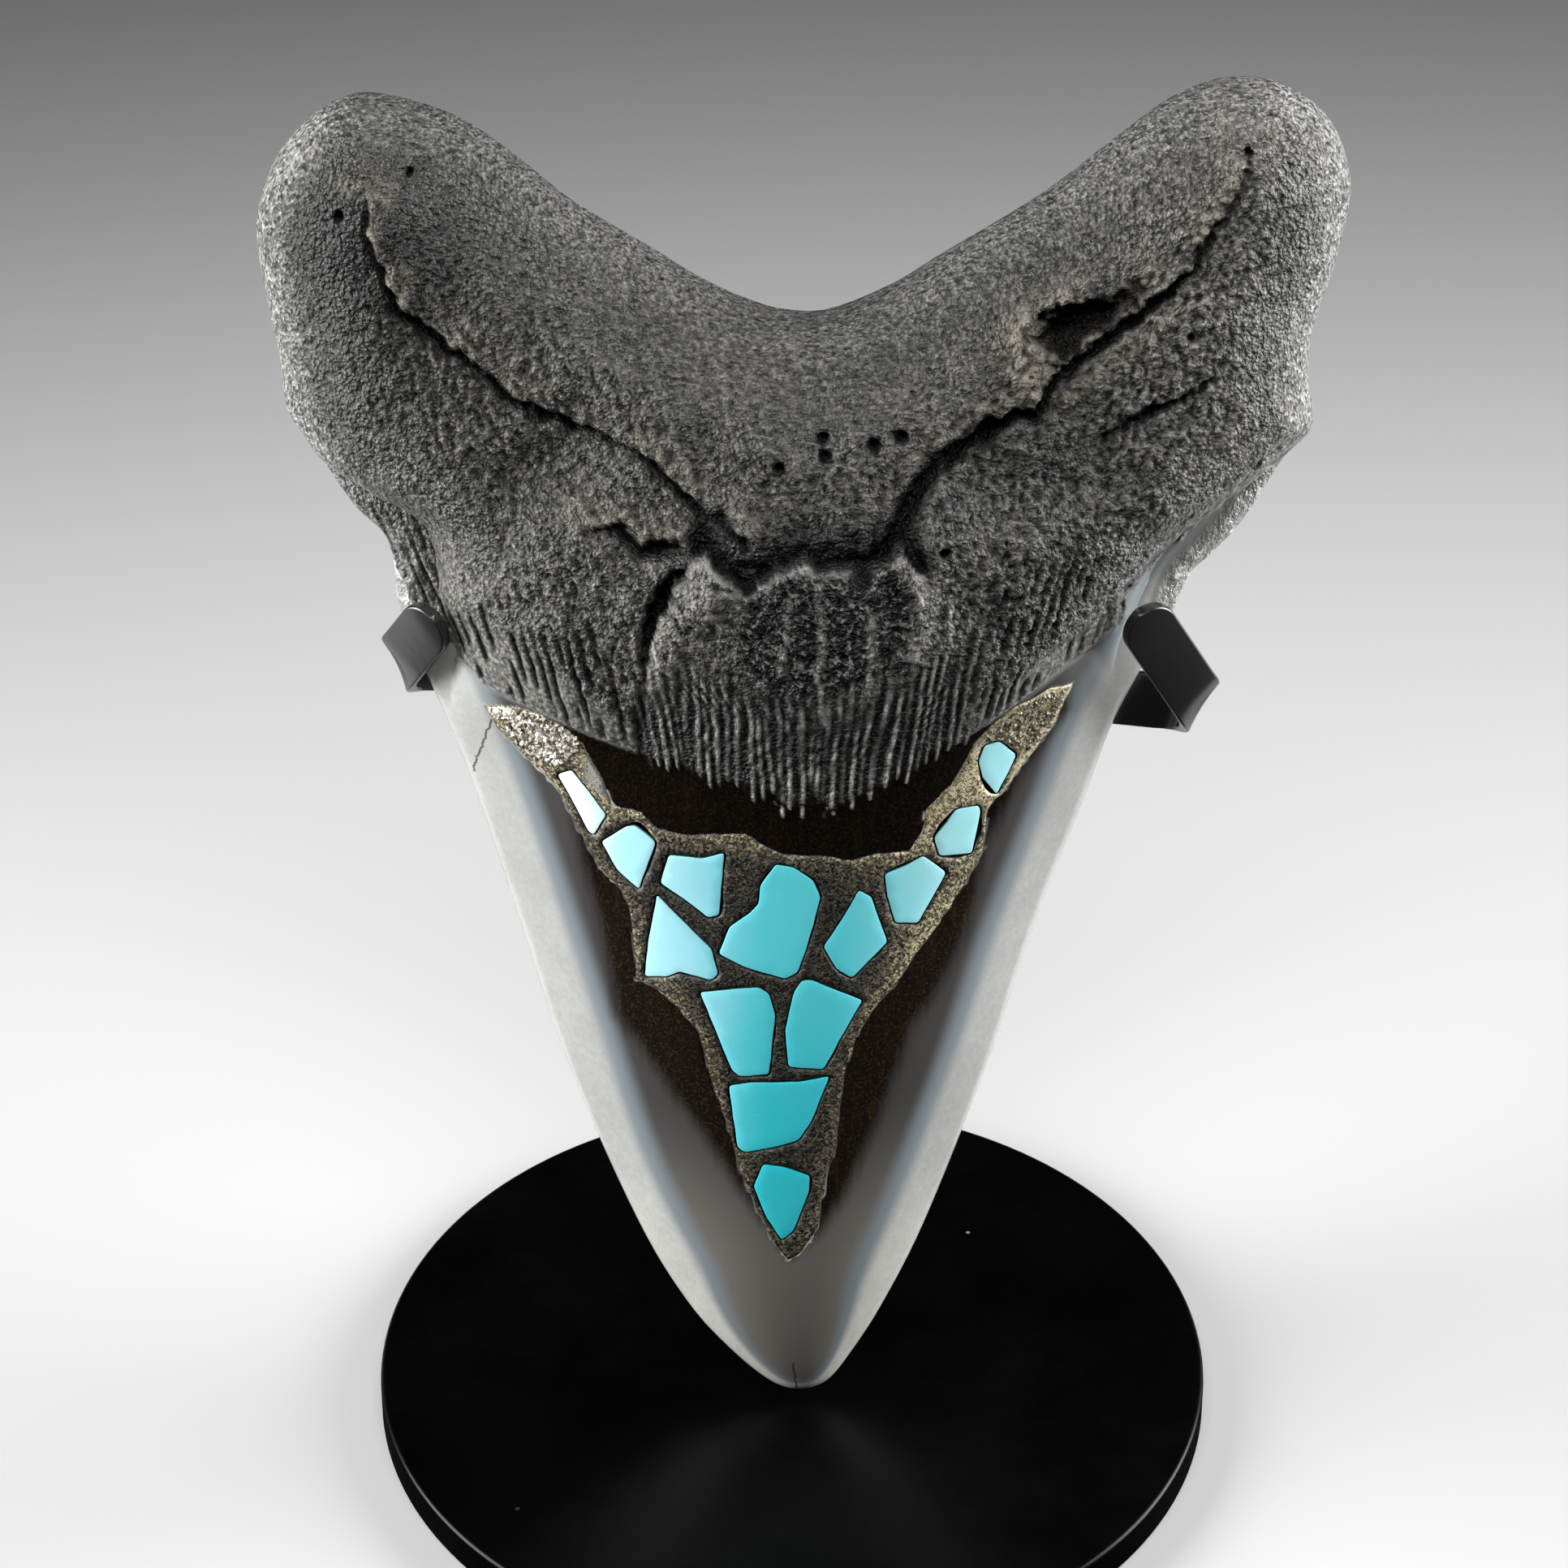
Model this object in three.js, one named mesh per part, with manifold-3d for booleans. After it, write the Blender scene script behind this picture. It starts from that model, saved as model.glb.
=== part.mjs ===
// A megalodon tooth with a turquoise inlay in its polished crown, held upright on a small black stand.
// Millimetres, +Z up. The origin is the centre of the base's underside, and the display face looks along -Y.
import * as THREE from 'three';
import { mergeVertices } from 'three/addons/utils/BufferGeometryUtils.js';
import Module from 'manifold-3d';

const wasm = await Module();
wasm.setup();

// Driving dimensions of the stand
const BASE_DIAMETER = 84;
const BASE_THICKNESS = 4;
const BASE_EDGE_CHAMFER = 0.5;
const BASE_SIDES = 48;
const POST_WIDTH = 8;
const POST_THICKNESS = 3;
const POST_ABOVE_STRIP = 1.5;
const STRIP_WIDTH = 5.5;
const STRIP_THICKNESS = 1.2;
const FIT_GAP = 0.3;

// Where the tooth stands: its tip is just above the base, and it leans back
const TOOTH_LEAN = THREE.MathUtils.degToRad(20);
const TIP_ABOVE_BASE = 1.5;
const TIP_X = 0.7;
const TIP_Y = -6.1;

// The tooth's outline on its face, [across, up from the tip], clockwise from the crest of the left lobe
const TOOTH_OUTLINE = [
  [-41, 131.5], [-35, 130.2], [-30.5, 128], [-26, 124.6], [-21.5, 121], [-14.5, 116.8], [-10, 114],
  [-5, 111.6], [0, 110.4], [4, 111], [9, 113.2], [13.5, 116], [23, 121.8], [30, 127.2], [34.5, 130.6],
  [38.5, 132.5], [42, 133],
  [46, 132.3], [50.4, 129], [52.5, 123], [51.3, 115.5], [49.3, 109], [49, 104], [49.5, 99.5], [47, 96.4],
  [43, 90], [40, 86.6], [38, 84.6], [36, 80], [31, 70.4], [28, 62], [23.2, 49], [18.7, 34.5], [12.7, 18.3],
  [8.6, 9.6], [5.5, 4.4], [2.8, 0.9], [0, 0],
  [-2.9, 0.9], [-7, 4.4], [-11.4, 9.6], [-16.3, 18.3], [-23, 34.5], [-28, 50.5], [-32.8, 65.5], [-38.6, 80],
  [-39.5, 86], [-40.5, 88.8], [-43.3, 91.6], [-47.5, 98], [-49.5, 101.5], [-50, 106], [-51.4, 113],
  [-52, 118.5], [-51, 123], [-49, 126.7], [-45.3, 130.2],
];
const LEFT_CREST = 0;
const RIGHT_CREST = 16;
const RIGHT_SHOULDER = 24;
const TIP_RIGHT = 36;
const TIP = 37;
const TIP_LEFT = 38;
const LEFT_SHOULDER = 49;

// Thickness of the tooth, measured out of the plane of its edges. The crown's middle stands out by a factor
// times a power of the height above the tip, and its section is a flattened lens.
const CROWN_FRONT = 1.05;
const CROWN_BACK = 0.47;
const CROWN_GROWTH = 0.6;
const CROWN_FRONT_FULLNESS = 2.2;
const CROWN_BACK_FULLNESS = 2;
const EDGE_ROUNDING = 0.7;
const LOBE_FRONT = 10.5;
const LOBE_BACK = 8;
const LOBE_ROUNDING = 13;
const ROOT_SWELL = 7;
const ROOT_SWELL_PLACE = [0, 88];
const ROOT_SWELL_REACH = 24;
const SHOULDER_FLANGE = { left: 4.5, right: 4, low: [68, 80], high: [90, 97.5] };

// Where the rough root ends on the polished crown: lowest point and rise to each side
const ROOT_FRINGE = { across: 2.5, up: 64, leftRise: 0.37, rightRise: 0.66, round: 3 };
const ROOT_BLEND = [-7, 9];
const ROOT_LEDGE = 0.8;
const ROOT_LEDGE_SLOPE = [-0.5, 1.5];
const RIDGE_HEIGHT = 0.45;
const RIDGE_BAND = { start: [0, 2], end: [9, 14] };
const RELIEF_MARGIN = 4;
const BACK_ROOT = { low: 82, high: 98, rise: 0.25 };

// Mesh of the tooth: columns from side to side, rows from the root's top edge to the tip
const COLUMNS = 60;
const ROOT_ROWS = 18;
const CROWN_ROWS = 8;
const ROOT_SHARE = 0.5;
const ROOT_ROW_CROWDING = 1.3;
const SIDE_COLUMN_CROWDING = 0.08;
const WIDE_COLUMNS = 4;
const BACK_ROWS = 2;

// Cracks and hollows of the root: the path on the face, the radius of the cut, and how deep its middle lies
const CRACKS = [
  { path: [[-40.7, 123], [-39.4, 116], [-36, 111], [-30, 107], [-27, 104], [-20, 101.3], [-14, 98.6], [-9, 94],
    [-5, 91.5]], radius: 1, sink: 0.4, steps: 16 },
  { path: [[42, 128], [41.4, 123.6], [38, 119], [35, 114.4], [29.4, 110], [23.5, 105.5], [17.7, 101.6],
    [11.8, 98], [8.5, 92]], radius: 1.3, sink: 0.4, steps: 16 },
  { path: [[-8, 89], [-4, 90.2], [0, 92], [5, 91.6], [10, 93.4]], radius: 2, sink: 0.3, steps: 8 },
  { path: [[-14.8, 91], [-15.8, 86], [-14.8, 80], [-15.4, 71]], radius: 0.9, sink: 0.3, steps: 6 },
  { path: [[28.5, 100], [33.3, 103], [39, 106]], radius: 0.7, sink: 0.2, steps: 4 },
];
const CRACK_SIDES = 6;
const HOLLOW = {
  across: 27, up: 111.5, sink: 0.5, length: 6.3, width: 2.7, depth: 4, turn: THREE.MathUtils.degToRad(22),
};
const FORAMINA = [
  [-2, 98.3, 0.6], [2.2, 100.3, 0.9], [6.9, 100.3, 0.6], [9.5, 101, 0.6],
  [-43.3, 121.2, 0.5], [36.8, 110, 0.5],
];
const FORAMEN_DEPTH = 3;

// The inlay: outline of the carved pocket and of each chip on the face
const POCKET_OUTLINE = [
  [-30.6, 72.8], [-27, 73.3], [-24.3, 72.9], [-20.9, 70.3], [-18.8, 66.3], [-18, 64], [-15.3, 63.5],
  [-12, 61.6], [-5.2, 61.9], [-1.7, 59.8], [5.2, 59.2], [10.5, 59.7], [11.9, 61.5], [12, 63.7], [14.7, 66.4],
  [16.7, 70.4], [20.6, 73.9], [24, 75.3], [26.5, 75.3], [24.8, 71.2], [20.8, 66.2], [18.6, 63.9], [18, 59.3],
  [15.9, 55.2], [12.9, 48.8], [10.3, 46.9], [6.7, 42.6], [4.6, 37.4], [3.6, 28.8], [1.7, 19.5], [-1.1, 16.1],
  [-2.9, 18.8], [-5.9, 26.3], [-9, 37.4], [-9.8, 40.7], [-12.6, 44], [-16, 45.8], [-16.4, 52.8],
  [-19.5, 57.3], [-23.8, 65.5], [-29, 70.3],
];
const POCKET_DEPTH = 2.6;
const CHIP_THICKNESS = 1.2;
const CHIP_OUTLINES = [
  [[-23.4, 66.4], [-22, 67.2], [-18.7, 62.9], [-20, 60.6], [-20.5, 60.9], [-21.8, 63.6]],
  [[-19.2, 60], [-16.8, 61.9], [-15.8, 62.1], [-13.9, 60.6], [-15.6, 55.5], [-17.7, 57.3]],
  [[-12.6, 59.4], [-9.5, 59.2], [-7.3, 59.9], [-7.8, 53.4], [-8.9, 53.1], [-10.9, 54.7], [-13.5, 56.4]],
  [[-13.8, 55.1], [-8.6, 49.8], [-7.9, 47.2], [-8.6, 46.5], [-11.7, 47.2], [-13, 46.5], [-15.1, 46.3],
    [-14.8, 49.5]],
  [[-2.3, 58.8], [-0.5, 58.4], [1.3, 57], [2, 55.4], [0.8, 50.6], [-0.2, 47.5], [-1.4, 46.8], [-5.3, 48],
    [-7.8, 49.3], [-6.8, 52.2], [-4.8, 53.7], [-4, 54.6], [-3.8, 56.6]],
  [[5.7, 55.9], [6.9, 55.1], [8.5, 50.2], [5.1, 46.7], [3.6, 47.7], [2.3, 50.1], [4.2, 53.1]],
  [[11.9, 59], [14.2, 56.9], [11.5, 51.9], [9.3, 52.2], [8.5, 55], [8.2, 57.4], [10.3, 58.1]],
  [[17.3, 63.6], [17.5, 62.9], [16.7, 58.6], [13.5, 58.8], [13, 60.7], [15.1, 63.5]],
  [[19.2, 70.2], [20.9, 68.4], [20.3, 66.9], [19, 64.5], [17.6, 66.6], [17.2, 68.3], [17.8, 70]],
  [[-9.7, 45.1], [-4, 45.9], [-3, 45.2], [-2.4, 43], [-3, 36.6], [-5.9, 36.3], [-6.6, 36.9]],
  [[0.2, 46.6], [1.2, 46.6], [6.1, 44.2], [4.6, 41.5], [2.3, 37], [-1.1, 37.4], [-1.4, 41.3], [-0.6, 45.2]],
  [[-6.9, 35.2], [-4.7, 35.7], [-0.1, 35.7], [2.9, 36.2], [1.2, 31.5], [-0.1, 29.4], [-2, 28.8], [-5.4, 28],
    [-6.1, 28.5]],
  [[-3.6, 26.7], [-1.7, 26.5], [1, 25.4], [0.9, 23.5], [-0.6, 19.4], [-1.7, 18.3], [-3.2, 20.7], [-4.5, 24.2]],
];

// The holder strip as it is cut and bent: lengths from its middle, where it crosses the post
const STRIP_PLACE = { across: 0.4, up: 72.8, tilt: THREE.MathUtils.degToRad(-3.1), behindTooth: 8.4 };
const STRIP_WINGS = { at: 9, angle: THREE.MathUtils.degToRad(11), radius: 15 };
const STRIP_FOLD = { radius: 2.5, slant: THREE.MathUtils.degToRad(27) };
const STRIP_RIGHT = { fold: 36.6, angle: THREE.MathUtils.degToRad(136), end: 57.4 };
const STRIP_LEFT = { fold: 37.5, angle: THREE.MathUtils.degToRad(124), end: 52.8 };
const STRIP_LANES = 3;

const smoothstep = (low, high, x) => THREE.MathUtils.smoothstep(x, low, high);
const dome = (x) => Math.sqrt(1 - (1 - THREE.MathUtils.clamp(x, 0, 1)) ** 2);

const outlineCurve = new THREE.CatmullRomCurve3(
  TOOTH_OUTLINE.map(([across, up]) => new THREE.Vector3(across, up, 0)), true, 'catmullrom', 0.5);

// Points of the outline's curve from one outline point to another, close enough to stand for it
function outlineStretch(from, to, perPoint = 6) {
  const count = (to - from) * perPoint;
  return Array.from({ length: count + 1 }, (_, k) => {
    const place = (from + k / perPoint) / TOOTH_OUTLINE.length;
    return outlineCurve.getPoint(place % 1);
  });
}

const rim = outlineStretch(0, TOOTH_OUTLINE.length);
const rightSide = outlineStretch(RIGHT_SHOULDER, TIP).reverse();
const leftSide = outlineStretch(TIP, LEFT_SHOULDER);

// Distance from a place on the face to the outline
function edgeDistance(across, up) {
  const place = new THREE.Vector3(across, up, 0);
  const nearest = new THREE.Vector3();
  const segment = new THREE.Line3();
  let best = Infinity;
  for (let k = 1; k < rim.length; k += 1) {
    segment.set(rim[k - 1], rim[k]).closestPointToPoint(place, true, nearest);
    best = Math.min(best, nearest.distanceTo(place));
  }
  return best;
}

// Where a side of the crown is at a height above the tip
function sideAt(side, up) {
  const next = side.findIndex((point) => point.y >= up);
  if (next < 0) return side.at(-1).x;
  if (next === 0) return side[0].x;
  const low = side[next - 1];
  const high = side[next];
  return THREE.MathUtils.mapLinear(up, low.y, high.y, low.x, high.x);
}

// Place between the crown's two edges, from -1 at the left edge to 1 at the right edge
function acrossCrown(across, up) {
  const left = sideAt(leftSide, up);
  const right = sideAt(rightSide, up);
  const halfWidth = Math.max((right - left) / 2, 0.01);
  return THREE.MathUtils.clamp((across - (left + right) / 2) / halfWidth, -1, 1);
}

// Height above the tip at which the rough root ends on the crown
function fringeHeight(across) {
  const aside = across - ROOT_FRINGE.across;
  const rise = aside < 0 ? ROOT_FRINGE.leftRise : ROOT_FRINGE.rightRise;
  return ROOT_FRINGE.up + rise * (Math.hypot(aside, ROOT_FRINGE.round) - ROOT_FRINGE.round);
}

function crownHeight(across, up, inside, factor, fullness) {
  const middle = factor * Math.max(up, 0) ** CROWN_GROWTH;
  const lens = middle * (1 - Math.abs(acrossCrown(across, up)) ** fullness);
  return lens + EDGE_ROUNDING * dome(inside / EDGE_ROUNDING);
}

// The root's front is a round-edged swelling, set in from the thin flange of enamel at each shoulder
function rootHeight(across, up, inside) {
  const { left, right, low, high } = SHOULDER_FLANGE;
  const flange = (across > 0 ? right : left) * smoothstep(...low, up) * (1 - smoothstep(...high, up));
  const flangeHeight = flange > 0 ? 0.5 * flange * dome(inside / flange) : 0;
  const [swellAcross, swellUp] = ROOT_SWELL_PLACE;
  const fromSwell = Math.hypot(across - swellAcross, up - swellUp) / ROOT_SWELL_REACH;
  const swell = LOBE_FRONT + ROOT_SWELL * Math.exp(-(fromSwell ** 2));
  return swell * dome((inside - flange) / LOBE_ROUNDING) + flangeHeight;
}

// How far the display face stands out of the plane of the edges; odd columns are the root's fine ridges
function frontHeight(across, up, column = 0) {
  const inside = edgeDistance(across, up);
  const aboveFringe = up - fringeHeight(across);
  const onRoot = smoothstep(...ROOT_BLEND, aboveFringe);
  const crown = crownHeight(across, up, inside, CROWN_FRONT, CROWN_FRONT_FULLNESS);
  const form = crown * (1 - onRoot) + rootHeight(across, up, inside) * onRoot;
  const ledge = ROOT_LEDGE * smoothstep(...ROOT_LEDGE_SLOPE, aboveFringe);
  const band = smoothstep(...RIDGE_BAND.start, aboveFringe) * (1 - smoothstep(...RIDGE_BAND.end, aboveFringe));
  const ridge = (column % 2) * RIDGE_HEIGHT * band;
  return form + (ledge + ridge) * dome(inside / RELIEF_MARGIN);
}

// How far the back stands out behind the plane of the edges
function backHeight(across, up) {
  const inside = edgeDistance(across, up);
  const crown = crownHeight(across, up, inside, CROWN_BACK, CROWN_BACK_FULLNESS);
  const root = LOBE_BACK * dome(inside / LOBE_ROUNDING);
  const onRoot = smoothstep(BACK_ROOT.low, BACK_ROOT.high, up - BACK_ROOT.rise * Math.abs(across));
  return crown * (1 - onRoot) + root * onRoot;
}

// Points at given shares of the length of a polyline
function pointsAlong(polyline, shares) {
  const lengths = [0];
  for (let k = 1; k < polyline.length; k += 1) {
    lengths.push(lengths[k - 1] + polyline[k].distanceTo(polyline[k - 1]));
  }
  return shares.map((share) => {
    const wanted = share * lengths.at(-1);
    const next = Math.max(1, lengths.findIndex((length) => length >= wanted - 1e-9));
    const part = (wanted - lengths[next - 1]) / (lengths[next] - lengths[next - 1]);
    return polyline[next - 1].clone().lerp(polyline[next], part);
  });
}

// A grid of places over the face, its rows bent like the root's top edge and its columns running to the tip
function faceGrid() {
  const columnShares = Array.from({ length: COLUMNS + 1 }, (_, k) => {
    const even = k / COLUMNS;
    return even - SIDE_COLUMN_CROWDING * Math.sin(2 * Math.PI * even);
  });
  const rootShares = Array.from({ length: ROOT_ROWS }, (_, k) => (
    ROOT_SHARE * (k / ROOT_ROWS) ** ROOT_ROW_CROWDING));
  const crownShares = Array.from({ length: CROWN_ROWS + 1 }, (_, k) => (
    ROOT_SHARE + (1 - ROOT_SHARE) * (k / CROWN_ROWS)));
  const rowShares = [...rootShares, ...crownShares];
  const count = TOOTH_OUTLINE.length;
  const top = pointsAlong(outlineStretch(LEFT_CREST, RIGHT_CREST), columnShares);
  const bottom = pointsAlong(outlineStretch(TIP_RIGHT, TIP_LEFT).reverse(), columnShares);
  const right = pointsAlong(outlineStretch(RIGHT_CREST, TIP_RIGHT), rowShares);
  const left = pointsAlong(outlineStretch(TIP_LEFT, count).reverse(), rowShares);
  return rowShares.map((t, row) => columnShares.map((s, column) => {
    const place = top[column].clone().multiplyScalar(1 - t).addScaledVector(bottom[column], t);
    place.addScaledVector(left[row], 1 - s).addScaledVector(right[row], s);
    place.addScaledVector(top[0], -(1 - s) * (1 - t)).addScaledVector(top[COLUMNS], -s * (1 - t));
    return place.addScaledVector(bottom[0], -(1 - s) * t).addScaledVector(bottom[COLUMNS], -s * t);
  }));
}

function meshFromTriangles(triangles) {
  const geometry = new THREE.BufferGeometry();
  geometry.setFromPoints(triangles.flat());
  return mergeVertices(geometry, 1e-4);
}

function toSolid(geometry) {
  const bare = geometry.clone();
  bare.deleteAttribute('normal');
  bare.deleteAttribute('uv');
  const merged = mergeVertices(bare, 1e-4);
  return new wasm.Manifold(new wasm.Mesh({
    numProp: 3,
    vertProperties: new Float32Array(merged.attributes.position.array),
    triVerts: new Uint32Array(merged.index.array),
  }));
}

function toGeometry(solid) {
  const mesh = solid.getMesh();
  const geometry = new THREE.BufferGeometry();
  geometry.setAttribute('position', new THREE.BufferAttribute(mesh.vertProperties, 3));
  geometry.setIndex(new THREE.BufferAttribute(mesh.triVerts, 1));
  geometry.computeVertexNormals();
  return geometry;
}

// The whole tooth before the pocket is carved: front and back faces that meet at the outline.
// The root's front has the finest cells; the crown's and the back's are several columns wide.
function toothBlank() {
  const grid = faceGrid();
  const lastRow = grid.length - 1;
  const onSide = (row, column) => row === 0 || column === 0 || column === COLUMNS;
  const raised = (row, column, height) => (
    grid[row][column].clone().setZ(onSide(row, column) || row === lastRow ? 0 : height));
  const front = grid.map((line, row) => line.map(({ x, y }, column) => (
    raised(row, column, frontHeight(x, y, column)))));
  const back = grid.map((line, row) => line.map(({ x, y }, column) => raised(row, column, -backHeight(x, y))));
  const triangles = [];
  for (let row = 0; row < lastRow; row += 1) {
    const step = row < ROOT_ROWS ? 1 : WIDE_COLUMNS;
    for (let column = 0; column < COLUMNS; column += step) {
      const cell = gridCell(front, row, column, 1, step, (r, c) => onSide(r, c) || r === ROOT_ROWS);
      triangles.push(...cell.map((triangle) => triangle.reverse()));
    }
  }
  for (let row = 0; row < lastRow; row += BACK_ROWS) {
    for (let column = 0; column < COLUMNS; column += WIDE_COLUMNS) {
      triangles.push(...gridCell(back, row, column, BACK_ROWS, WIDE_COLUMNS, onSide));
    }
  }
  return meshFromTriangles(triangles);
}

// One cell of a grid. Besides its corners it keeps the border points that a finer neighbour needs.
function gridCell(grid, row, column, rows, columns, isNeeded) {
  const ring = [];
  for (let k = 0; k < columns; k += 1) ring.push([row, column + k]);
  for (let k = 0; k < rows; k += 1) ring.push([row + k, column + columns]);
  for (let k = columns; k > 0; k -= 1) ring.push([row + rows, column + k]);
  for (let k = rows; k > 0; k -= 1) ring.push([row + k, column]);
  const isCorner = ([r, c]) => (r - row) % rows === 0 && (c - column) % columns === 0;
  const kept = ring.filter((place) => isCorner(place) || isNeeded(...place)).map(([r, c]) => grid[r][c]);
  if (kept.length === 4) return [[kept[0], kept[1], kept[2]], [kept[0], kept[2], kept[3]]];
  const middle = new THREE.Vector3();
  kept.forEach((point) => middle.addScaledVector(point, 1 / kept.length));
  return kept.map((point, k) => [point, kept[(k + 1) % kept.length], middle]);
}

// A rod that follows a crack just under the face, for cutting it
function crackRod({ path, radius, sink, steps }) {
  const curve = new THREE.CatmullRomCurve3(
    path.map(([across, up]) => new THREE.Vector3(across, up, frontHeight(across, up) - sink)));
  const section = new THREE.Shape(Array.from({ length: CRACK_SIDES }, (_, k) => {
    const angle = (2 * Math.PI * k) / CRACK_SIDES;
    return new THREE.Vector2(radius * Math.cos(angle), radius * Math.sin(angle));
  }));
  return new THREE.ExtrudeGeometry(section, { steps, extrudePath: curve, bevelEnabled: false });
}

function hollowBall({ across, up, sink, length, width, depth, turn }) {
  const ball = new THREE.SphereGeometry(1, 14, 9);
  return ball.scale(length, width, depth).rotateZ(turn).translate(across, up, frontHeight(across, up) - sink);
}

function foramenPin([across, up, radius]) {
  const pin = new THREE.CylinderGeometry(radius, 0.7 * radius, 2 * FORAMEN_DEPTH, 8);
  return pin.rotateX(Math.PI / 2).translate(across, up, frontHeight(across, up));
}

// An outline moved outwards, or inwards where the distance is negative
function offsetOutline(outline, distance) {
  const points = toVectors(outline);
  const turn = THREE.ShapeUtils.isClockWise(points) ? -1 : 1;
  const outward = (from, to) => {
    const along = to.clone().sub(from).normalize();
    return new THREE.Vector2(along.y, -along.x).multiplyScalar(turn);
  };
  return points.map((point, k) => {
    const before = outward(points.at(k - 1), point);
    const after = outward(point, points[(k + 1) % points.length]);
    const both = before.clone().add(after).normalize();
    const reach = distance / Math.max(both.dot(before), 0.5);
    return point.clone().addScaledVector(both, reach);
  });
}

// A column through the face of the crown with the given outline, from just in front of the plane of the edges
function faceColumn(outlinePoints) {
  const low = 0.6;
  const high = 30;
  const column = new THREE.ExtrudeGeometry(new THREE.Shape(outlinePoints), {
    depth: high - low, bevelEnabled: false });
  return toSolid(column.translate(0, 0, low));
}

function toVectors(points) {
  return points.map(([x, y]) => new THREE.Vector2(x, y));
}

const blank = toSolid(toothBlank());
const sunkBlank = (depth) => blank.translate([0, 0, -depth]);

function toothGeometry() {
  let solid = blank.subtract(faceColumn(toVectors(POCKET_OUTLINE)).subtract(sunkBlank(POCKET_DEPTH)));
  const cuts = [...CRACKS.map(crackRod), hollowBall(HOLLOW), ...FORAMINA.map(foramenPin)];
  cuts.forEach((cut) => {
    solid = solid.subtract(toSolid(cut));
  });
  return toGeometry(solid);
}

function bedGeometry() {
  const filling = faceColumn(offsetOutline(POCKET_OUTLINE, -FIT_GAP)).intersect(blank);
  let solid = filling.subtract(sunkBlank(POCKET_DEPTH - FIT_GAP));
  CHIP_OUTLINES.forEach((outline) => {
    const seat = faceColumn(offsetOutline(outline, FIT_GAP)).subtract(sunkBlank(CHIP_THICKNESS + FIT_GAP));
    solid = solid.subtract(seat);
  });
  return toGeometry(solid);
}

function chipGeometry(outline) {
  return toGeometry(faceColumn(toVectors(outline)).intersect(blank).subtract(sunkBlank(CHIP_THICKNESS)));
}

// Bends a sheet about a line across it. The line starts at a length along the strip and may be slanted.
// A point keeps its flat place, which says on which side of the line it lies, and its bent place.
function bendSheet(points, { at, angle, radius, slant, side }) {
  const out = new THREE.Vector3(side * Math.cos(slant), -Math.sin(slant), 0);
  const along = new THREE.Vector3(Math.sin(slant) * side, Math.cos(slant), 0);
  const start = new THREE.Vector3(side * at, 0, 0);
  points.forEach(({ flat, bent }) => {
    const flatReach = flat.clone().sub(start).dot(out);
    if (flatReach <= 0) return;
    const turned = Math.min(flatReach / radius, angle);
    const beyond = flatReach / radius > angle;
    const offset = bent.clone().sub(start);
    const alongLine = offset.dot(along);
    const outwards = beyond ? offset.dot(out) - radius * angle : 0;
    const lever = radius - offset.z;
    const reach = lever * Math.sin(turned) + outwards * Math.cos(turned);
    const lift = radius - lever * Math.cos(turned) + outwards * Math.sin(turned);
    bent.copy(start).addScaledVector(along, alongLine).addScaledVector(out, reach);
    bent.z = lift;
  });
}

// Stations along the flat strip from one end to the other, close together where it is bent or round
function stripStations() {
  const half = STRIP_WIDTH / 2;
  const between = (low, high, count) => (
    Array.from({ length: count }, (_, k) => low + ((high - low) * k) / count));
  const slantReach = half * Math.tan(STRIP_FOLD.slant);
  const oneSide = ({ fold, angle, end }) => {
    const wingEnd = STRIP_WINGS.at + STRIP_WINGS.angle * STRIP_WINGS.radius;
    const foldStart = fold - slantReach;
    const foldEnd = fold + slantReach + (angle * STRIP_FOLD.radius) / Math.cos(STRIP_FOLD.slant);
    const roundEnd = [1, 0.65, 0.35, 0.12, 0].map((share) => end - half * share);
    return [STRIP_WINGS.at, ...between(STRIP_WINGS.at, wingEnd, 3).slice(1), wingEnd,
      ...between(foldStart, foldEnd, 9), foldEnd, ...roundEnd];
  };
  return [...oneSide(STRIP_LEFT).map((station) => -station).reverse(), ...oneSide(STRIP_RIGHT)];
}

// The strip's half width at a station: full, and round at both ends
function stripHalfWidth(station) {
  const half = STRIP_WIDTH / 2;
  const fromEnd = Math.min(station + STRIP_LEFT.end, STRIP_RIGHT.end - station);
  return Math.max(half * dome(fromEnd / half), 0.25);
}

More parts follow.
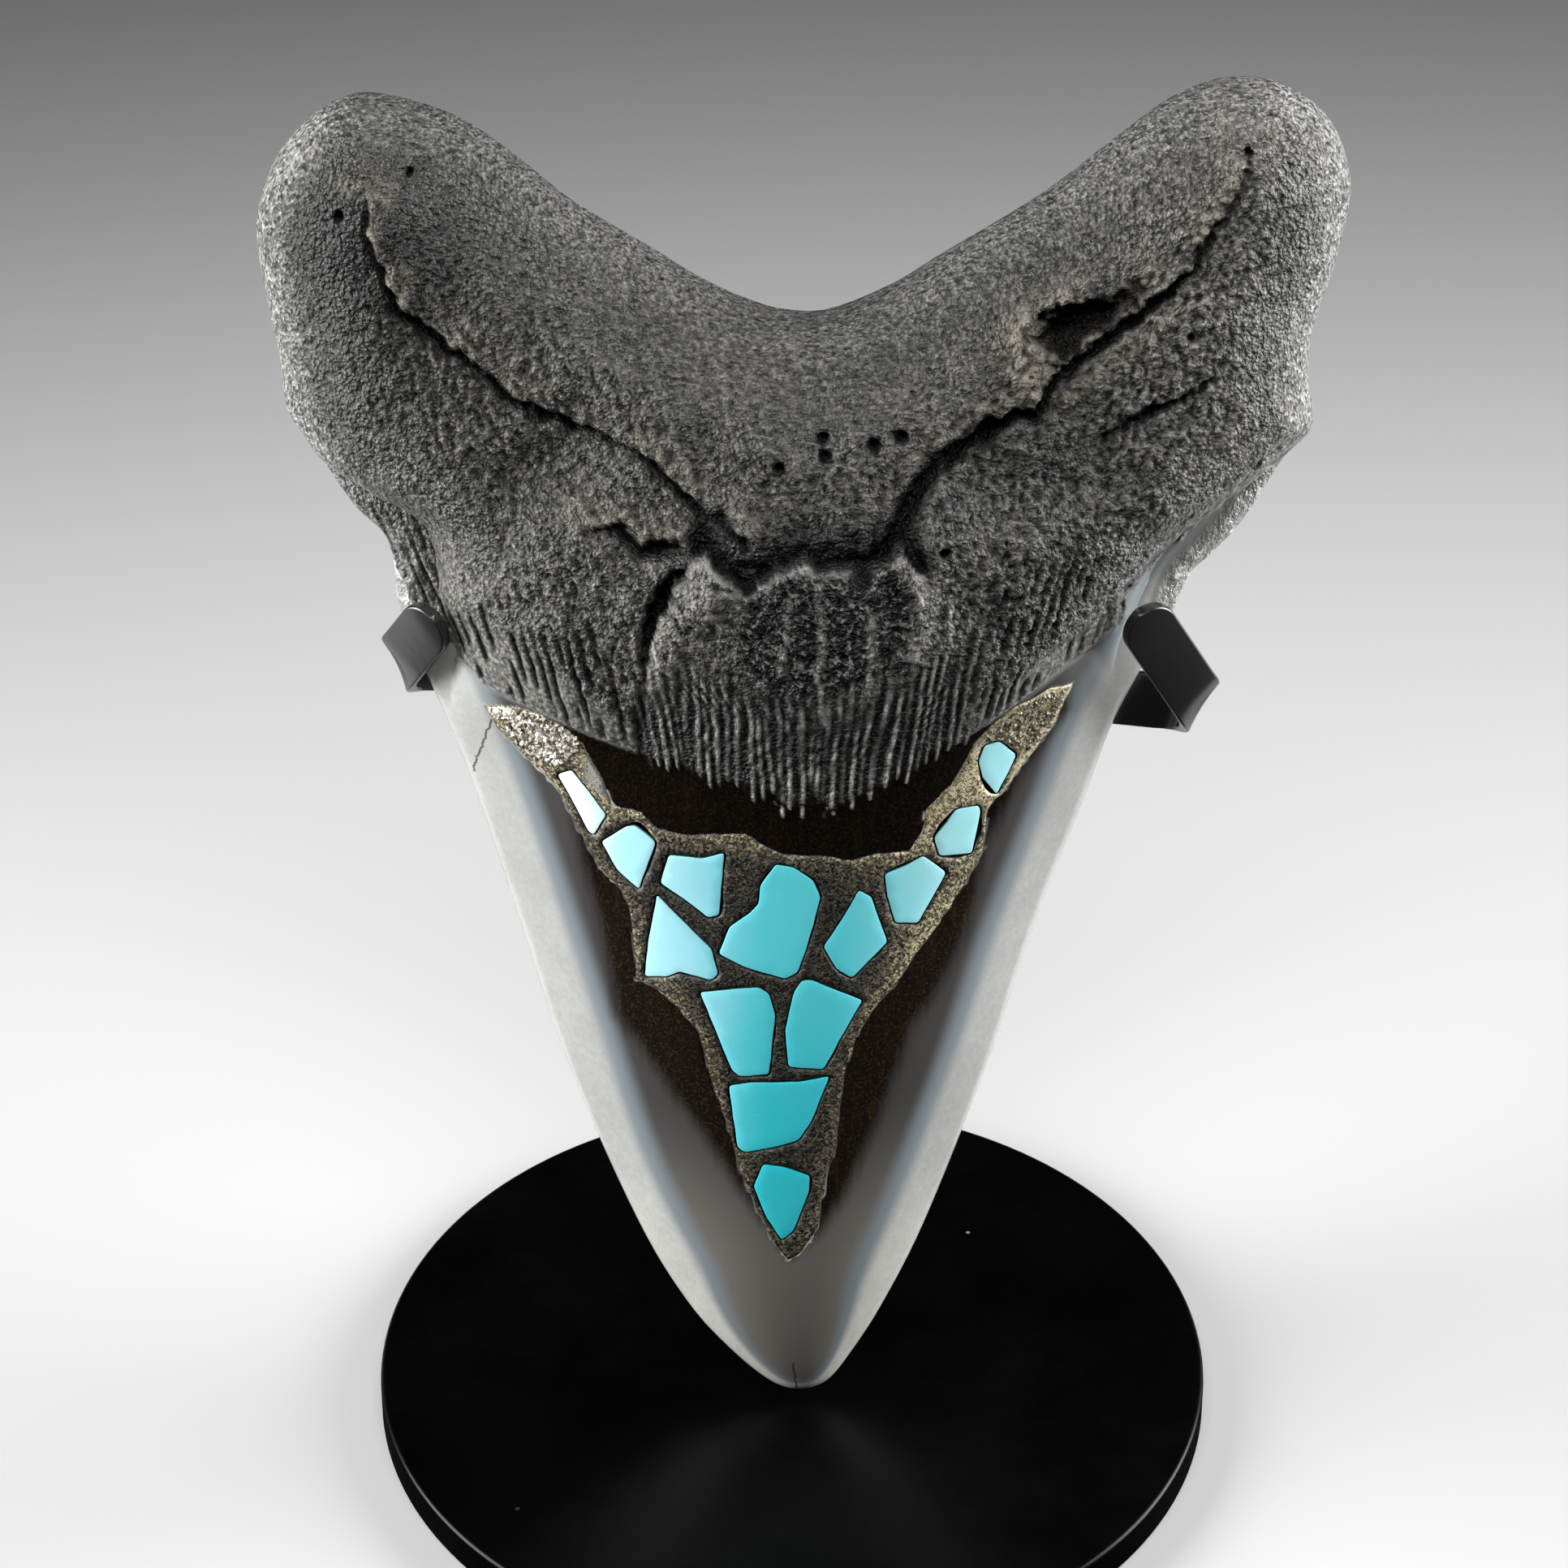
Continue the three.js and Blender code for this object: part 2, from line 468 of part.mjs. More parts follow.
function stripGeometry() {
  const place = (station, lane, level) => {
    const width = stripHalfWidth(station) * (2 * lane / STRIP_LANES - 1);
    const flat = new THREE.Vector3(station, width, level * STRIP_THICKNESS / 2);
    return { flat, bent: flat.clone() };
  };
  const stations = stripStations();
  const lanes = Array.from({ length: STRIP_LANES + 1 }, (_, lane) => lane);
  const levels = [1, -1].map((level) => (
    stations.map((station) => lanes.map((lane) => place(station, lane, level)))));
  const points = levels.flat(2);
  [[1, STRIP_RIGHT], [-1, STRIP_LEFT]].forEach(([side, { fold, angle }]) => {
    bendSheet(points, { ...STRIP_FOLD, angle, at: fold, side });
    bendSheet(points, { ...STRIP_WINGS, slant: 0, side });
  });
  const triangles = [];
  const quad = (...corners) => {
    const [a, b, c, d] = corners.map(({ bent }) => bent);
    triangles.push([a, b, c], [a, c, d]);
  };
  const [top, bottom] = levels;
  const last = stations.length - 1;
  for (let k = 0; k < last; k += 1) {
    for (let lane = 0; lane < STRIP_LANES; lane += 1) {
      quad(top[k][lane], top[k + 1][lane], top[k + 1][lane + 1], top[k][lane + 1]);
      quad(bottom[k][lane], bottom[k][lane + 1], bottom[k + 1][lane + 1], bottom[k + 1][lane]);
    }
    quad(bottom[k][0], bottom[k + 1][0], top[k + 1][0], top[k][0]);
    quad(bottom[k + 1][STRIP_LANES], bottom[k][STRIP_LANES], top[k][STRIP_LANES], top[k + 1][STRIP_LANES]);
  }
  for (let lane = 0; lane < STRIP_LANES; lane += 1) {
    quad(bottom[0][lane + 1], bottom[0][lane], top[0][lane], top[0][lane + 1]);
    quad(bottom[last][lane], bottom[last][lane + 1], top[last][lane + 1], top[last][lane]);
  }
  return meshFromTriangles(triangles);
}

// The post: a flat bar behind the strip, parallel to the tooth, its foot cut level on the base
function postGeometry() {
  const front = -STRIP_PLACE.behindTooth - STRIP_THICKNESS / 2 - FIT_GAP;
  const back = front - POST_THICKNESS;
  const top = STRIP_PLACE.up + STRIP_WIDTH / 2 + POST_ABOVE_STRIP;
  const footHeight = FIT_GAP - TIP_ABOVE_BASE;
  const footAt = (out) => (footHeight - out * Math.sin(TOOTH_LEAN)) / Math.cos(TOOTH_LEAN);
  const profile = toVectors([[front, footAt(front)], [front, top], [back, top], [back, footAt(back)]]);
  const bar = new THREE.ExtrudeGeometry(new THREE.Shape(profile), { depth: POST_WIDTH, bevelEnabled: false });
  return bar.translate(0, 0, -POST_WIDTH / 2).rotateY(-Math.PI / 2);
}

function baseGeometry() {
  const radius = BASE_DIAMETER / 2;
  const profile = toVectors([
    [0, 0], [radius - BASE_EDGE_CHAMFER, 0], [radius, BASE_EDGE_CHAMFER],
    [radius, BASE_THICKNESS - BASE_EDGE_CHAMFER], [radius - BASE_EDGE_CHAMFER, BASE_THICKNESS],
    [0, BASE_THICKNESS],
  ]);
  return new THREE.LatheGeometry(profile, BASE_SIDES).rotateX(Math.PI / 2);
}

function piece(name, geometry, color, roughness, metalness = 0) {
  const mesh = new THREE.Mesh(geometry, new THREE.MeshStandardMaterial({ color, roughness, metalness }));
  mesh.name = name;
  return mesh;
}

// Everything that leans with the tooth is placed on its face: x across, y up from the tip, z out of the face
const leaning = new THREE.Group();
leaning.position.set(TIP_X, TIP_Y, BASE_THICKNESS + TIP_ABOVE_BASE);
leaning.rotation.x = Math.PI / 2 - TOOTH_LEAN;
leaning.add(piece('tooth', toothGeometry(), 0x5a5956, 0.7));
leaning.add(piece('inlay_bed', bedGeometry(), 0x57574f, 0.5));
CHIP_OUTLINES.forEach((outline, k) => {
  const name = `turquoise_${String(k + 1).padStart(2, '0')}`;
  leaning.add(piece(name, chipGeometry(outline), 0x4db9c4, 0.25));
});
const strip = piece('holder_strip', stripGeometry(), 0x14110f, 0.35, 0.2);
strip.position.set(STRIP_PLACE.across, STRIP_PLACE.up, -STRIP_PLACE.behindTooth);
strip.rotation.z = STRIP_PLACE.tilt;
leaning.add(strip);
leaning.add(piece('post', postGeometry(), 0x14110f, 0.4, 0.2));

const model = new THREE.Group();
model.add(piece('base', baseGeometry(), 0x070707, 0.35, 0.2));
model.add(leaning);

export default model;
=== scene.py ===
import math

import bpy
import numpy as np
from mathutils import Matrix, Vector, geometry, noise


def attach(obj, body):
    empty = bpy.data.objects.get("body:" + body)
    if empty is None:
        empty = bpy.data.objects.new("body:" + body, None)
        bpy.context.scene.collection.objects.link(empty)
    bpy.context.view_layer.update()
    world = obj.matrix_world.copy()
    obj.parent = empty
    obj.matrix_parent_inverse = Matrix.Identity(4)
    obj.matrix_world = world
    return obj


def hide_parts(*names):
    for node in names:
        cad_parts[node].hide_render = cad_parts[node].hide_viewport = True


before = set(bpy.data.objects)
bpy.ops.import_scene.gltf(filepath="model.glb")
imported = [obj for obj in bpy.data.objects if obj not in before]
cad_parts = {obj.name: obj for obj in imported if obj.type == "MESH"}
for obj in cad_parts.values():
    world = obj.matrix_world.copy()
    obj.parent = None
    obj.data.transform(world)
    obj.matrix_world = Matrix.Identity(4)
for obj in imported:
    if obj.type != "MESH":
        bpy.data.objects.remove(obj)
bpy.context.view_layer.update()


# The camera stands where the photograph was taken from: a little over half a metre away and 35 degrees
# above the level, with a long lens pointed at the middle of the tooth.
PHOTO_PIXELS = 1932
FOCAL_PIXELS = 6917
SENSOR_WIDTH = 36
CAMERA_PLACE = (-0.00083, -0.43523, 0.38304)
CAMERA_ELEVATION = math.radians(35.2)


def add_object(name, data):
    """An object in the scene that holds a mesh, a light or a camera."""
    made = bpy.data.objects.new(name, data)
    bpy.context.scene.collection.objects.link(made)
    return made


camera_data = bpy.data.cameras.new("photo_camera")
camera_data.sensor_width = SENSOR_WIDTH
camera_data.lens = SENSOR_WIDTH * FOCAL_PIXELS / PHOTO_PIXELS
camera_data.clip_start = 0.01
camera = add_object("photo_camera", camera_data)
camera.location = CAMERA_PLACE
camera.rotation_euler = (math.pi / 2 - CAMERA_ELEVATION, 0, 0)
bpy.context.scene.camera = camera


# The base is a round steel plate with broken edges, powder-coated black.
# Its satin coat has a fine orange peel, faint rub marks and a few specks of dust.
BASE_RADIUS = 42
BASE_THICKNESS = 4
BASE_EDGE_RADIUS = 0.5
BASE_SIDES = 160
BASE_FLAT_RINGS = (0.2, 6, 15, 25, 35)
DUST_CELLS = 0.16


class Shade:
    """A socket in a material's nodes. Arithmetic on it adds the nodes that work the result out."""

    def __init__(self, tree, socket=None):
        self.tree = tree
        self.socket = socket

    def node(self, kind, settings=None, inputs=None, output=0):
        made = self.tree.nodes.new(kind)
        for name, value in (settings or {}).items():
            if name == "stops":
                self.set_stops(made.color_ramp.elements, value)
            else:
                setattr(made, name, value)
        for name, value in (inputs or {}).items():
            self.feed(made.inputs[name], value)
        return Shade(self.tree, made.outputs[output])

    def set_stops(self, elements, stops):
        while len(elements) < len(stops):
            elements.new(1)
        for element, (position, colour) in zip(elements, stops):
            element.position = position
            element.color = colour

    def feed(self, socket, value):
        if isinstance(value, Shade):
            self.tree.links.new(value.socket, socket)
        else:
            socket.default_value = value

    def is_vector(self):
        return self.socket.type in ("VECTOR", "RGBA")

    def arithmetic(self, operation, *values):
        if not any(isinstance(value, Shade) and value.is_vector() for value in values):
            return self.node("ShaderNodeMath", {"operation": operation}, dict(enumerate(values)))
        whole = [value if isinstance(value, Shade) or np.ndim(value) else (value,) * 3 for value in values]
        return self.node("ShaderNodeVectorMath", {"operation": operation}, dict(enumerate(whole)))

    def __add__(self, other):
        return self.arithmetic("ADD", self, other)

    def __radd__(self, other):
        return self.arithmetic("ADD", other, self)

    def __sub__(self, other):
        return self.arithmetic("SUBTRACT", self, other)

    def __rsub__(self, other):
        return self.arithmetic("SUBTRACT", other, self)

    def __mul__(self, other):
        return self.arithmetic("MULTIPLY", self, other)

    def __rmul__(self, other):
        return self.arithmetic("MULTIPLY", other, self)

    def __truediv__(self, other):
        return self.arithmetic("DIVIDE", self, other)

    def between(self, low, high):
        """0 below low, 1 above high and a smooth rise from one to the other."""
        return self.node(
            "ShaderNodeMapRange", {"interpolation_type": "SMOOTHSTEP"},
            {"Value": self, "From Min": low, "From Max": high},
        )

    def blend(self, first, second):
        """The first colour where this is 0, the second where it is 1."""
        return self.node("ShaderNodeMix", {"data_type": "RGBA"}, {0: self, 6: first, 7: second}, output=2)

    def noise(self, size, detail=3.0, roughness=0.5):
        """Cloudy noise about 0.5 over this place in millimetres, with lumps of the given size."""
        return self.node(
            "ShaderNodeTexNoise", None,
            {"Vector": self, "Scale": 1 / size, "Detail": detail, "Roughness": roughness},
        )

    def cell_gap(self, scale):
        """Distance to the middle of the nearest of many cells, with the given number to a millimetre."""
        return self.node("ShaderNodeTexVoronoi", None, {"Vector": self, "Scale": scale}, output=0)

    def cell_tone(self, scale):
        """A chance value from 0 to 1 for each of those cells."""
        colour = self.node("ShaderNodeTexVoronoi", None, {"Vector": self, "Scale": scale}, output=1)
        return self.node("ShaderNodeSeparateColor", None, {0: colour}, output=0)

    def axis(self, number):
        """One coordinate of this place: 0 across, 1 towards the back and 2 upwards."""
        return self.node("ShaderNodeSeparateXYZ", None, {0: self}, output=number)

    def mark(self, name):
        """A value that the mesh holds at each of its points."""
        return self.node("ShaderNodeAttribute", {"attribute_name": name}, output=2)

    def bump(self, height):
        """The normal of a surface with this relief in millimetres."""
        return self.node("ShaderNodeBump", None, {"Strength": 1.0, "Distance": 0.001, "Height": height})


def srgb(red, green, blue):
    """A colour as seen on screen, 0 to 255, as the shader takes it."""
    linear = [
        ((part / 255 + 0.055) / 1.055) ** 2.4 if part > 10 else part / 3294.6
        for part in (red, green, blue)
    ]
    return (*linear, 1.0)


def new_finish(name):
    """A material, its shader, and the place on the surface in millimetres."""
    material = bpy.data.materials.new(name)
    material.use_nodes = True
    shade = Shade(material.node_tree)
    place = shade.node("ShaderNodeTexCoord", output=3) * 1000
    return material, material.node_tree.nodes["Principled BSDF"], place


def set_finish(shader, shade, **sockets):
    """Feeds the shader's sockets, named with _ for a space."""
    for name, value in sockets.items():
        shade.feed(shader.inputs[name.replace("_", " ").title().replace("Ior", "IOR")], value)


def new_mesh(name, points, faces):
    """A mesh from points in millimetres."""
    mesh = bpy.data.meshes.new(name)
    mesh.from_pydata((np.asarray(points) / 1000).tolist(), [], [list(map(int, face)) for face in faces])
    return mesh


def add_piece(name, points, faces, material, replaced):
    """A smooth mesh piece from points in millimetres, on the part's one body."""
    mesh = new_mesh(name, points, faces)
    mesh.shade_smooth()
    mesh.materials.append(material)
    piece = add_object(name, mesh)
    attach(piece, "root")
    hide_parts(replaced)
    return piece


def tube_faces(rings, size):
    """Quads between rings of points that follow each other, and a cap on each end."""
    faces = []
    for first in range(0, (rings - 1) * size, size):
        for k in range(size):
            following = (k + 1) % size
            faces.append((first + k, first + following, first + size + following, first + size + k))
    last = (rings - 1) * size
    return faces + [tuple(range(size - 1, -1, -1)), tuple(range(last, last + size))]


def base_profile():
    """Radius and height from the middle of the underside round the edge to the middle of the top."""
    inner = BASE_RADIUS - BASE_EDGE_RADIUS
    turn = [math.radians(angle) for angle in range(-90, 1, 15)]
    low = [(inner + BASE_EDGE_RADIUS * math.cos(a), BASE_EDGE_RADIUS * (1 + math.sin(a))) for a in turn]
    high = [(r, BASE_THICKNESS - z) for r, z in reversed(low)]
    flat = [*BASE_FLAT_RINGS, inner - 0.1]
    return [(r, 0) for r in flat] + low + high + [(r, BASE_THICKNESS) for r in reversed(flat)]


def black_coat(name, dullness, mirroring, tone):
    """Satin black paint over metal."""
    material, shader, place = new_finish(name)
    peel = place.noise(0.9, detail=2)
    rubbed = place.noise(14, detail=5, roughness=0.65)
    specks = 1 - place.cell_gap(DUST_CELLS).between(0.02, 0.05)
    dust = specks * place.cell_tone(DUST_CELLS).between(0.64, 0.66)
    colour = rubbed.between(0.4, 0.75).blend(srgb(tone, tone, tone), srgb(tone + 3, tone + 3, tone + 3))
    colour = (dust * 0.7).blend(colour, srgb(150, 150, 150))
    set_finish(
        shader, place,
        base_color=colour,
        roughness=dullness + rubbed * 0.12 + dust * 0.3,
        specular_ior_level=mirroring,
        normal=place.bump(peel * 0.012),
    )
    return material


COAT = black_coat("black_coat", dullness=0.24, mirroring=0.13, tone=1)
base_rings = [
    [(r * math.cos(a), r * math.sin(a), z) for a in np.linspace(0, 2 * math.pi, BASE_SIDES, endpoint=False)]
    for r, z in base_profile()
]
add_piece(
    "base_plate", np.concatenate(base_rings), tube_faces(len(base_rings), BASE_SIDES),
    COAT, "base",
)


# The post is a flat steel bar behind the tooth, leaning back with it.
# Its foot is cut level and welded to the base, and it has the same black coat.
TIP_PLACE = (0.7, -6.1, 5.5)
LEAN = math.radians(20)
POST_WIDTH = 8
POST_FRONT = -9.02
POST_BACK = -12.3
POST_TOP = 77
POST_EDGE_RADIUS = 0.4
POST_STATIONS = (6, 20, 40, 60)
POST_TOP_TURN = (22, 45, 67, 90)
WELD_REACH = 1.1
WELD_TURN = (0, 20, 40, 60, 75, 90)


def on_stand(across, up, out):
    """A place given on the leaning tooth's face, across, up from its tip and out of the face, as x, y, z."""
    x = TIP_PLACE[0] + np.asarray(across, float)
    y = TIP_PLACE[1] + up * math.sin(LEAN) - out * math.cos(LEAN)
    z = TIP_PLACE[2] + up * math.cos(LEAN) + out * math.sin(LEAN)
    return np.stack(np.broadcast_arrays(x, y, z), axis=-1)


def rounded_section(width, depth, radius, steps=4):
    """Points round a rectangle with rounded corners, about its middle."""
    points = []
    for corner, (sx, sy) in enumerate([(1, 1), (-1, 1), (-1, -1), (1, -1)]):
        for k in range(steps + 1):
            angle = math.pi / 2 * (corner + k / steps)
            points.append((
                sx * (width / 2 - radius) + radius * math.cos(angle),
                sy * (depth / 2 - radius) + radius * math.sin(angle),
            ))
    return np.array(points)


def post_ring(up, inset=0.0, foot_height=None):
    """One ring round the bar, level with the base where a height above the base is given."""
    depth = POST_FRONT - POST_BACK
    radius = max(POST_EDGE_RADIUS - inset, 0.1)
    section = rounded_section(POST_WIDTH - 2 * inset, depth - 2 * inset, radius)
    out = section[:, 1] + (POST_FRONT + POST_BACK) / 2
    if foot_height is not None:
        level = BASE_THICKNESS + foot_height - TIP_PLACE[2]
        up = (level - out * math.sin(LEAN)) / math.cos(LEAN)
    return on_stand(section[:, 0], up, out)


post_rings = [
    post_ring(0, -WELD_REACH * (1 - math.sin(a)), WELD_REACH * (1 - math.cos(a)))
    for a in np.radians(WELD_TURN)
]
post_rings += [post_ring(up) for up in (*POST_STATIONS, POST_TOP - POST_EDGE_RADIUS)]
post_rings += [
    post_ring(POST_TOP - POST_EDGE_RADIUS * (1 - math.sin(a)), POST_EDGE_RADIUS * (1 - math.cos(a)))
    for a in np.radians(POST_TOP_TURN)
]
add_piece(
    "stand_post", np.concatenate(post_rings), tube_faces(len(post_rings), len(post_rings[0])),
    COAT, "post",
)


# The holder is one flat steel strip, brazed across the front of the post.
# Its two ends are folded forwards into rounded hooks that grip the crown's edges below the root.
STRIP_WIDTH = 5.5
STRIP_THICKNESS = 1.2
STRIP_EDGE_RADIUS = 0.25
STRIP_PLACE = {"across": 0.4, "up": 72.8, "tilt": math.radians(-3.1), "out": -8.4}
STRIP_WINGS = {"at": 9, "angle": math.radians(11), "radius": 15, "slant": 0}
STRIP_FOLD = {"radius": 2.5, "slant": math.radians(27)}
STRIP_RIGHT = {"fold": 36.6, "angle": math.radians(136), "end": 57.4}
STRIP_LEFT = {"fold": 37.5, "angle": math.radians(124), "end": 52.8}
STRIP_STEP = 0.45


def dome(x):
    """A quarter round: 0 at 0, level at 1."""
    return np.sqrt(1 - (1 - np.clip(x, 0, 1)) ** 2)


def bend_sheet(flat, bent, at, angle, radius, slant, side):
    """Rolls what lies beyond a line across the flat strip about that line."""
    out = np.array([side * math.cos(slant), -math.sin(slant), 0])
    along = np.array([side * math.sin(slant), math.cos(slant), 0])
    start = np.array([side * at, 0, 0])
    flat_reach = (flat - start) @ out
    turned = np.clip(flat_reach / radius, 0, angle)
    offset = bent - start
    outwards = np.where(flat_reach / radius > angle, offset @ out - radius * angle, 0)
    lever = radius - offset[:, 2]
    reach = lever * np.sin(turned) + outwards * np.cos(turned)
    lift = radius - lever * np.cos(turned) + outwards * np.sin(turned)
    rolled = start + np.outer(offset @ along, along) + np.outer(reach, out) + np.outer(lift, [0, 0, 1])
    return np.where((flat_reach > 0)[:, None], rolled, bent)


def strip_rings():
    """Sections of the flat strip from its left end to its right end."""
    half = STRIP_WIDTH / 2
    low, high = -STRIP_LEFT["end"], STRIP_RIGHT["end"]
    round_end = half * (1 - np.cos(np.linspace(0.08, math.pi / 2, 10, endpoint=False)))
    middle = np.linspace(low + half, high - half, round((high - low - 2 * half) / STRIP_STEP))
    rings = []
    for station in [*(low + round_end), *middle, *(high - round_end[::-1])]:
        width = max(half * dome(min(station - low, high - station) / half), STRIP_EDGE_RADIUS + 0.05)
        section = rounded_section(2 * width, STRIP_THICKNESS, STRIP_EDGE_RADIUS, steps=3)
        rings.append([(station, across, level) for across, level in section])
    return rings


strip_parts = strip_rings()
strip_flat = np.concatenate(strip_parts)
strip_bent = strip_flat.copy()
for side, half_strip in ((1, STRIP_RIGHT), (-1, STRIP_LEFT)):
    strip_bent = bend_sheet(
        strip_flat, strip_bent, half_strip["fold"], half_strip["angle"], side=side, **STRIP_FOLD)
    strip_bent = bend_sheet(strip_flat, strip_bent, side=side, **STRIP_WINGS)
tilt_cos = math.cos(STRIP_PLACE["tilt"])
tilt_sin = math.sin(STRIP_PLACE["tilt"])
strip_points = on_stand(
    STRIP_PLACE["across"] + strip_bent[:, 0] * tilt_cos - strip_bent[:, 1] * tilt_sin,
    STRIP_PLACE["up"] + strip_bent[:, 0] * tilt_sin + strip_bent[:, 1] * tilt_cos,
    STRIP_PLACE["out"] + strip_bent[:, 2],
)
add_piece(
    "holder_hooks", strip_points, tube_faces(len(strip_parts), len(strip_parts[0])),
    black_coat("hook_coat", dullness=0.2, mirroring=0.9, tone=28), "holder_strip",
)


# The tooth is one fossil: a rough grey root with two lobes, and a crown whose face is ground and polished
# through pale enamel into dark dentine. Cracks, pits and chips are those of the real one.
TOOTH_OUTLINE = np.array([
    (-41, 131.5), (-35, 130.2), (-30.5, 128), (-26, 124.6), (-21.5, 121), (-14.5, 116.8), (-10, 114),
    (-5, 111.6), (0, 110.4), (4, 111), (9, 113.2), (13.5, 116), (23, 121.8), (30, 127.2), (34.5, 130.6),
    (38.5, 132.5), (42, 133),
    (46, 132.3), (50.4, 129), (52.5, 123), (51.3, 115.5), (49.3, 109), (49, 104), (49.5, 99.5), (47, 96.4),
    (43, 90), (40, 86.6), (38, 84.6), (36, 80), (31, 70.4), (28, 62), (23.2, 49), (18.7, 34.5), (12.7, 18.3),
    (8.6, 9.6), (5.5, 4.4), (2.8, 0.9), (0, 0),
    (-2.9, 0.9), (-7, 4.4), (-11.4, 9.6), (-16.3, 18.3), (-23, 34.5), (-28, 50.5), (-32.8, 65.5), (-38.6, 80),
    (-39.5, 86), (-40.5, 88.8), (-43.3, 91.6), (-47.5, 98), (-49.5, 101.5), (-50, 106), (-51.4, 113),
    (-52, 118.5), (-51, 123), (-49, 126.7), (-45.3, 130.2),
])

# Points of the outline by their number, and the steps between two of them
LEFT_CREST = 0
RIGHT_CREST = 16
RIGHT_SHOULDER = 24
TIP_RIGHT = 36
TIP = 37
TIP_LEFT = 38
LEFT_SHOULDER = 49
CURVE_STEPS = 6

# How far both faces stand out of the plane of the edges, and where the root ends on them
CROWN_FRONT = {"factor": 1.05, "fullness": 2.2}
CROWN_BACK = {"factor": 0.47, "fullness": 2}
CROWN_GROWTH = 0.6
EDGE_ROUNDING = 0.7
LOBE_FRONT = 10.5
LOBE_BACK = 8
LOBE_ROUNDING = 13
ROOT_SWELL = {"height": 7, "up": 88, "reach": 24}
SHOULDER_FLANGE = {"left": 4.5, "right": 4, "low": (68, 80), "high": (90, 97.5)}
ROOT_FRINGE = {"across": 2.5, "up": 64, "left_rise": 0.37, "right_rise": 0.66, "round": 3}
ROOT_BLEND = (-7, 9)
BACK_ROOT = {"low": 82, "high": 98, "rise": 0.25, "edge": 90}
FIBRE_ORIGIN = 15
FIBRE_RADIUS = 85

# Columns from side to side and rows from the root's top to the tip, fewer on crown and back
COLUMNS = 384
ROOT_ROWS = 176
CROWN_ROWS = 110
ROOT_SHARE = 0.46
WIDE_COLUMNS = 4
BACK_ROWS = 2
SIDE_COLUMN_CROWDING = 0.08


def smoothstep(low, high, x):
    share = np.clip((x - low) / (high - low), 0, 1)
    return share * share * (3 - 2 * share)


def outline_stretch(first, last):
    """Points of the smooth outline from one outline point to another."""
    count = len(TOOTH_OUTLINE)
    points = []
    for k in range((last - first) * CURVE_STEPS + 1):
        index, t = divmod(k / CURVE_STEPS, 1)
        a, b, c, d = (TOOTH_OUTLINE[(first + int(index) + shift) % count] for shift in (-1, 0, 1, 2))
        slope_b, slope_c = (c - a) / 2, (d - b) / 2
        curve = 2 * b - 2 * c + slope_b + slope_c
        bow = -3 * b + 3 * c - 2 * slope_b - slope_c
        points.append(((curve * t + bow) * t + slope_b) * t + b)
    return np.array(points)


def points_along(path, shares):
    """Points at given shares of a path's length."""
    lengths = np.concatenate([[0], np.cumsum(np.linalg.norm(np.diff(path, axis=0), axis=1))])
    wanted = np.asarray(shares) * lengths[-1]
    return np.stack([np.interp(wanted, lengths, path[:, k]) for k in (0, 1)], axis=1)


def nearest_on_path(places, path):
    """Each place's distance to a path, and how far along the path, from 0 to 1, its nearest point is."""
    best = np.full(len(places), np.inf)
    along = np.zeros(len(places))
    passed = 0.0
    for start, end in zip(path[:-1], path[1:]):
        step = end - start
        length = math.hypot(*step)
        part = np.clip((places - start) @ step / length ** 2, 0, 1)
        gap = np.hypot(*(places - start - part[:, None] * step).T)
        closer = gap < best
        best[closer] = gap[closer]
        along[closer] = passed + part[closer] * length
        passed += length
    return best, along / passed


RIM = outline_stretch(0, len(TOOTH_OUTLINE))
RIGHT_SIDE = outline_stretch(RIGHT_SHOULDER, TIP)[::-1]
LEFT_SIDE = outline_stretch(TIP, LEFT_SHOULDER)


def across_crown(across, up):
    """Place between the crown's two edges, from -1 at the left edge to 1 at the right one."""
    left = np.interp(up, LEFT_SIDE[:, 1], LEFT_SIDE[:, 0])
    right = np.interp(up, RIGHT_SIDE[:, 1], RIGHT_SIDE[:, 0])
    half_width = np.maximum((right - left) / 2, 0.01)
    return np.clip((across - (left + right) / 2) / half_width, -1, 1)


def above_fringe(across, up):
    """Height above the line where the rough root ends on the polished crown."""
    aside = across - ROOT_FRINGE["across"]
    rise = np.where(aside < 0, ROOT_FRINGE["left_rise"], ROOT_FRINGE["right_rise"])
    rounding = ROOT_FRINGE["round"]
    return up - ROOT_FRINGE["up"] - rise * (np.hypot(aside, rounding) - rounding)


def crown_height(across, up, inside, factor, fullness):
    middle = factor * np.maximum(up, 0) ** CROWN_GROWTH
    lens = middle * (1 - np.abs(across_crown(across, up)) ** fullness)
    return lens + EDGE_ROUNDING * dome(inside / EDGE_ROUNDING)


def flange_width(across, up):
    """Width of the thin rim of enamel at each shoulder."""
    widest = np.where(across > 0, SHOULDER_FLANGE["right"], SHOULDER_FLANGE["left"])
    return widest * smoothstep(*SHOULDER_FLANGE["low"], up) * (1 - smoothstep(*SHOULDER_FLANGE["high"], up))


def root_height(across, up, inside):
    flange = flange_width(across, up)
    flange_height = 0.5 * flange * dome(inside / np.maximum(flange, 0.01))
    from_swell = np.hypot(across, up - ROOT_SWELL["up"]) / ROOT_SWELL["reach"]
    swell = LOBE_FRONT + ROOT_SWELL["height"] * np.exp(-from_swell ** 2)
    return swell * dome((inside - flange) / LOBE_ROUNDING) + flange_height


def front_height(across, up, inside):
    """How far the display face stands out of the plane of the edges."""
    on_root = smoothstep(*ROOT_BLEND, above_fringe(across, up))
    crown = crown_height(across, up, inside, **CROWN_FRONT)
    return crown * (1 - on_root) + root_height(across, up, inside) * on_root


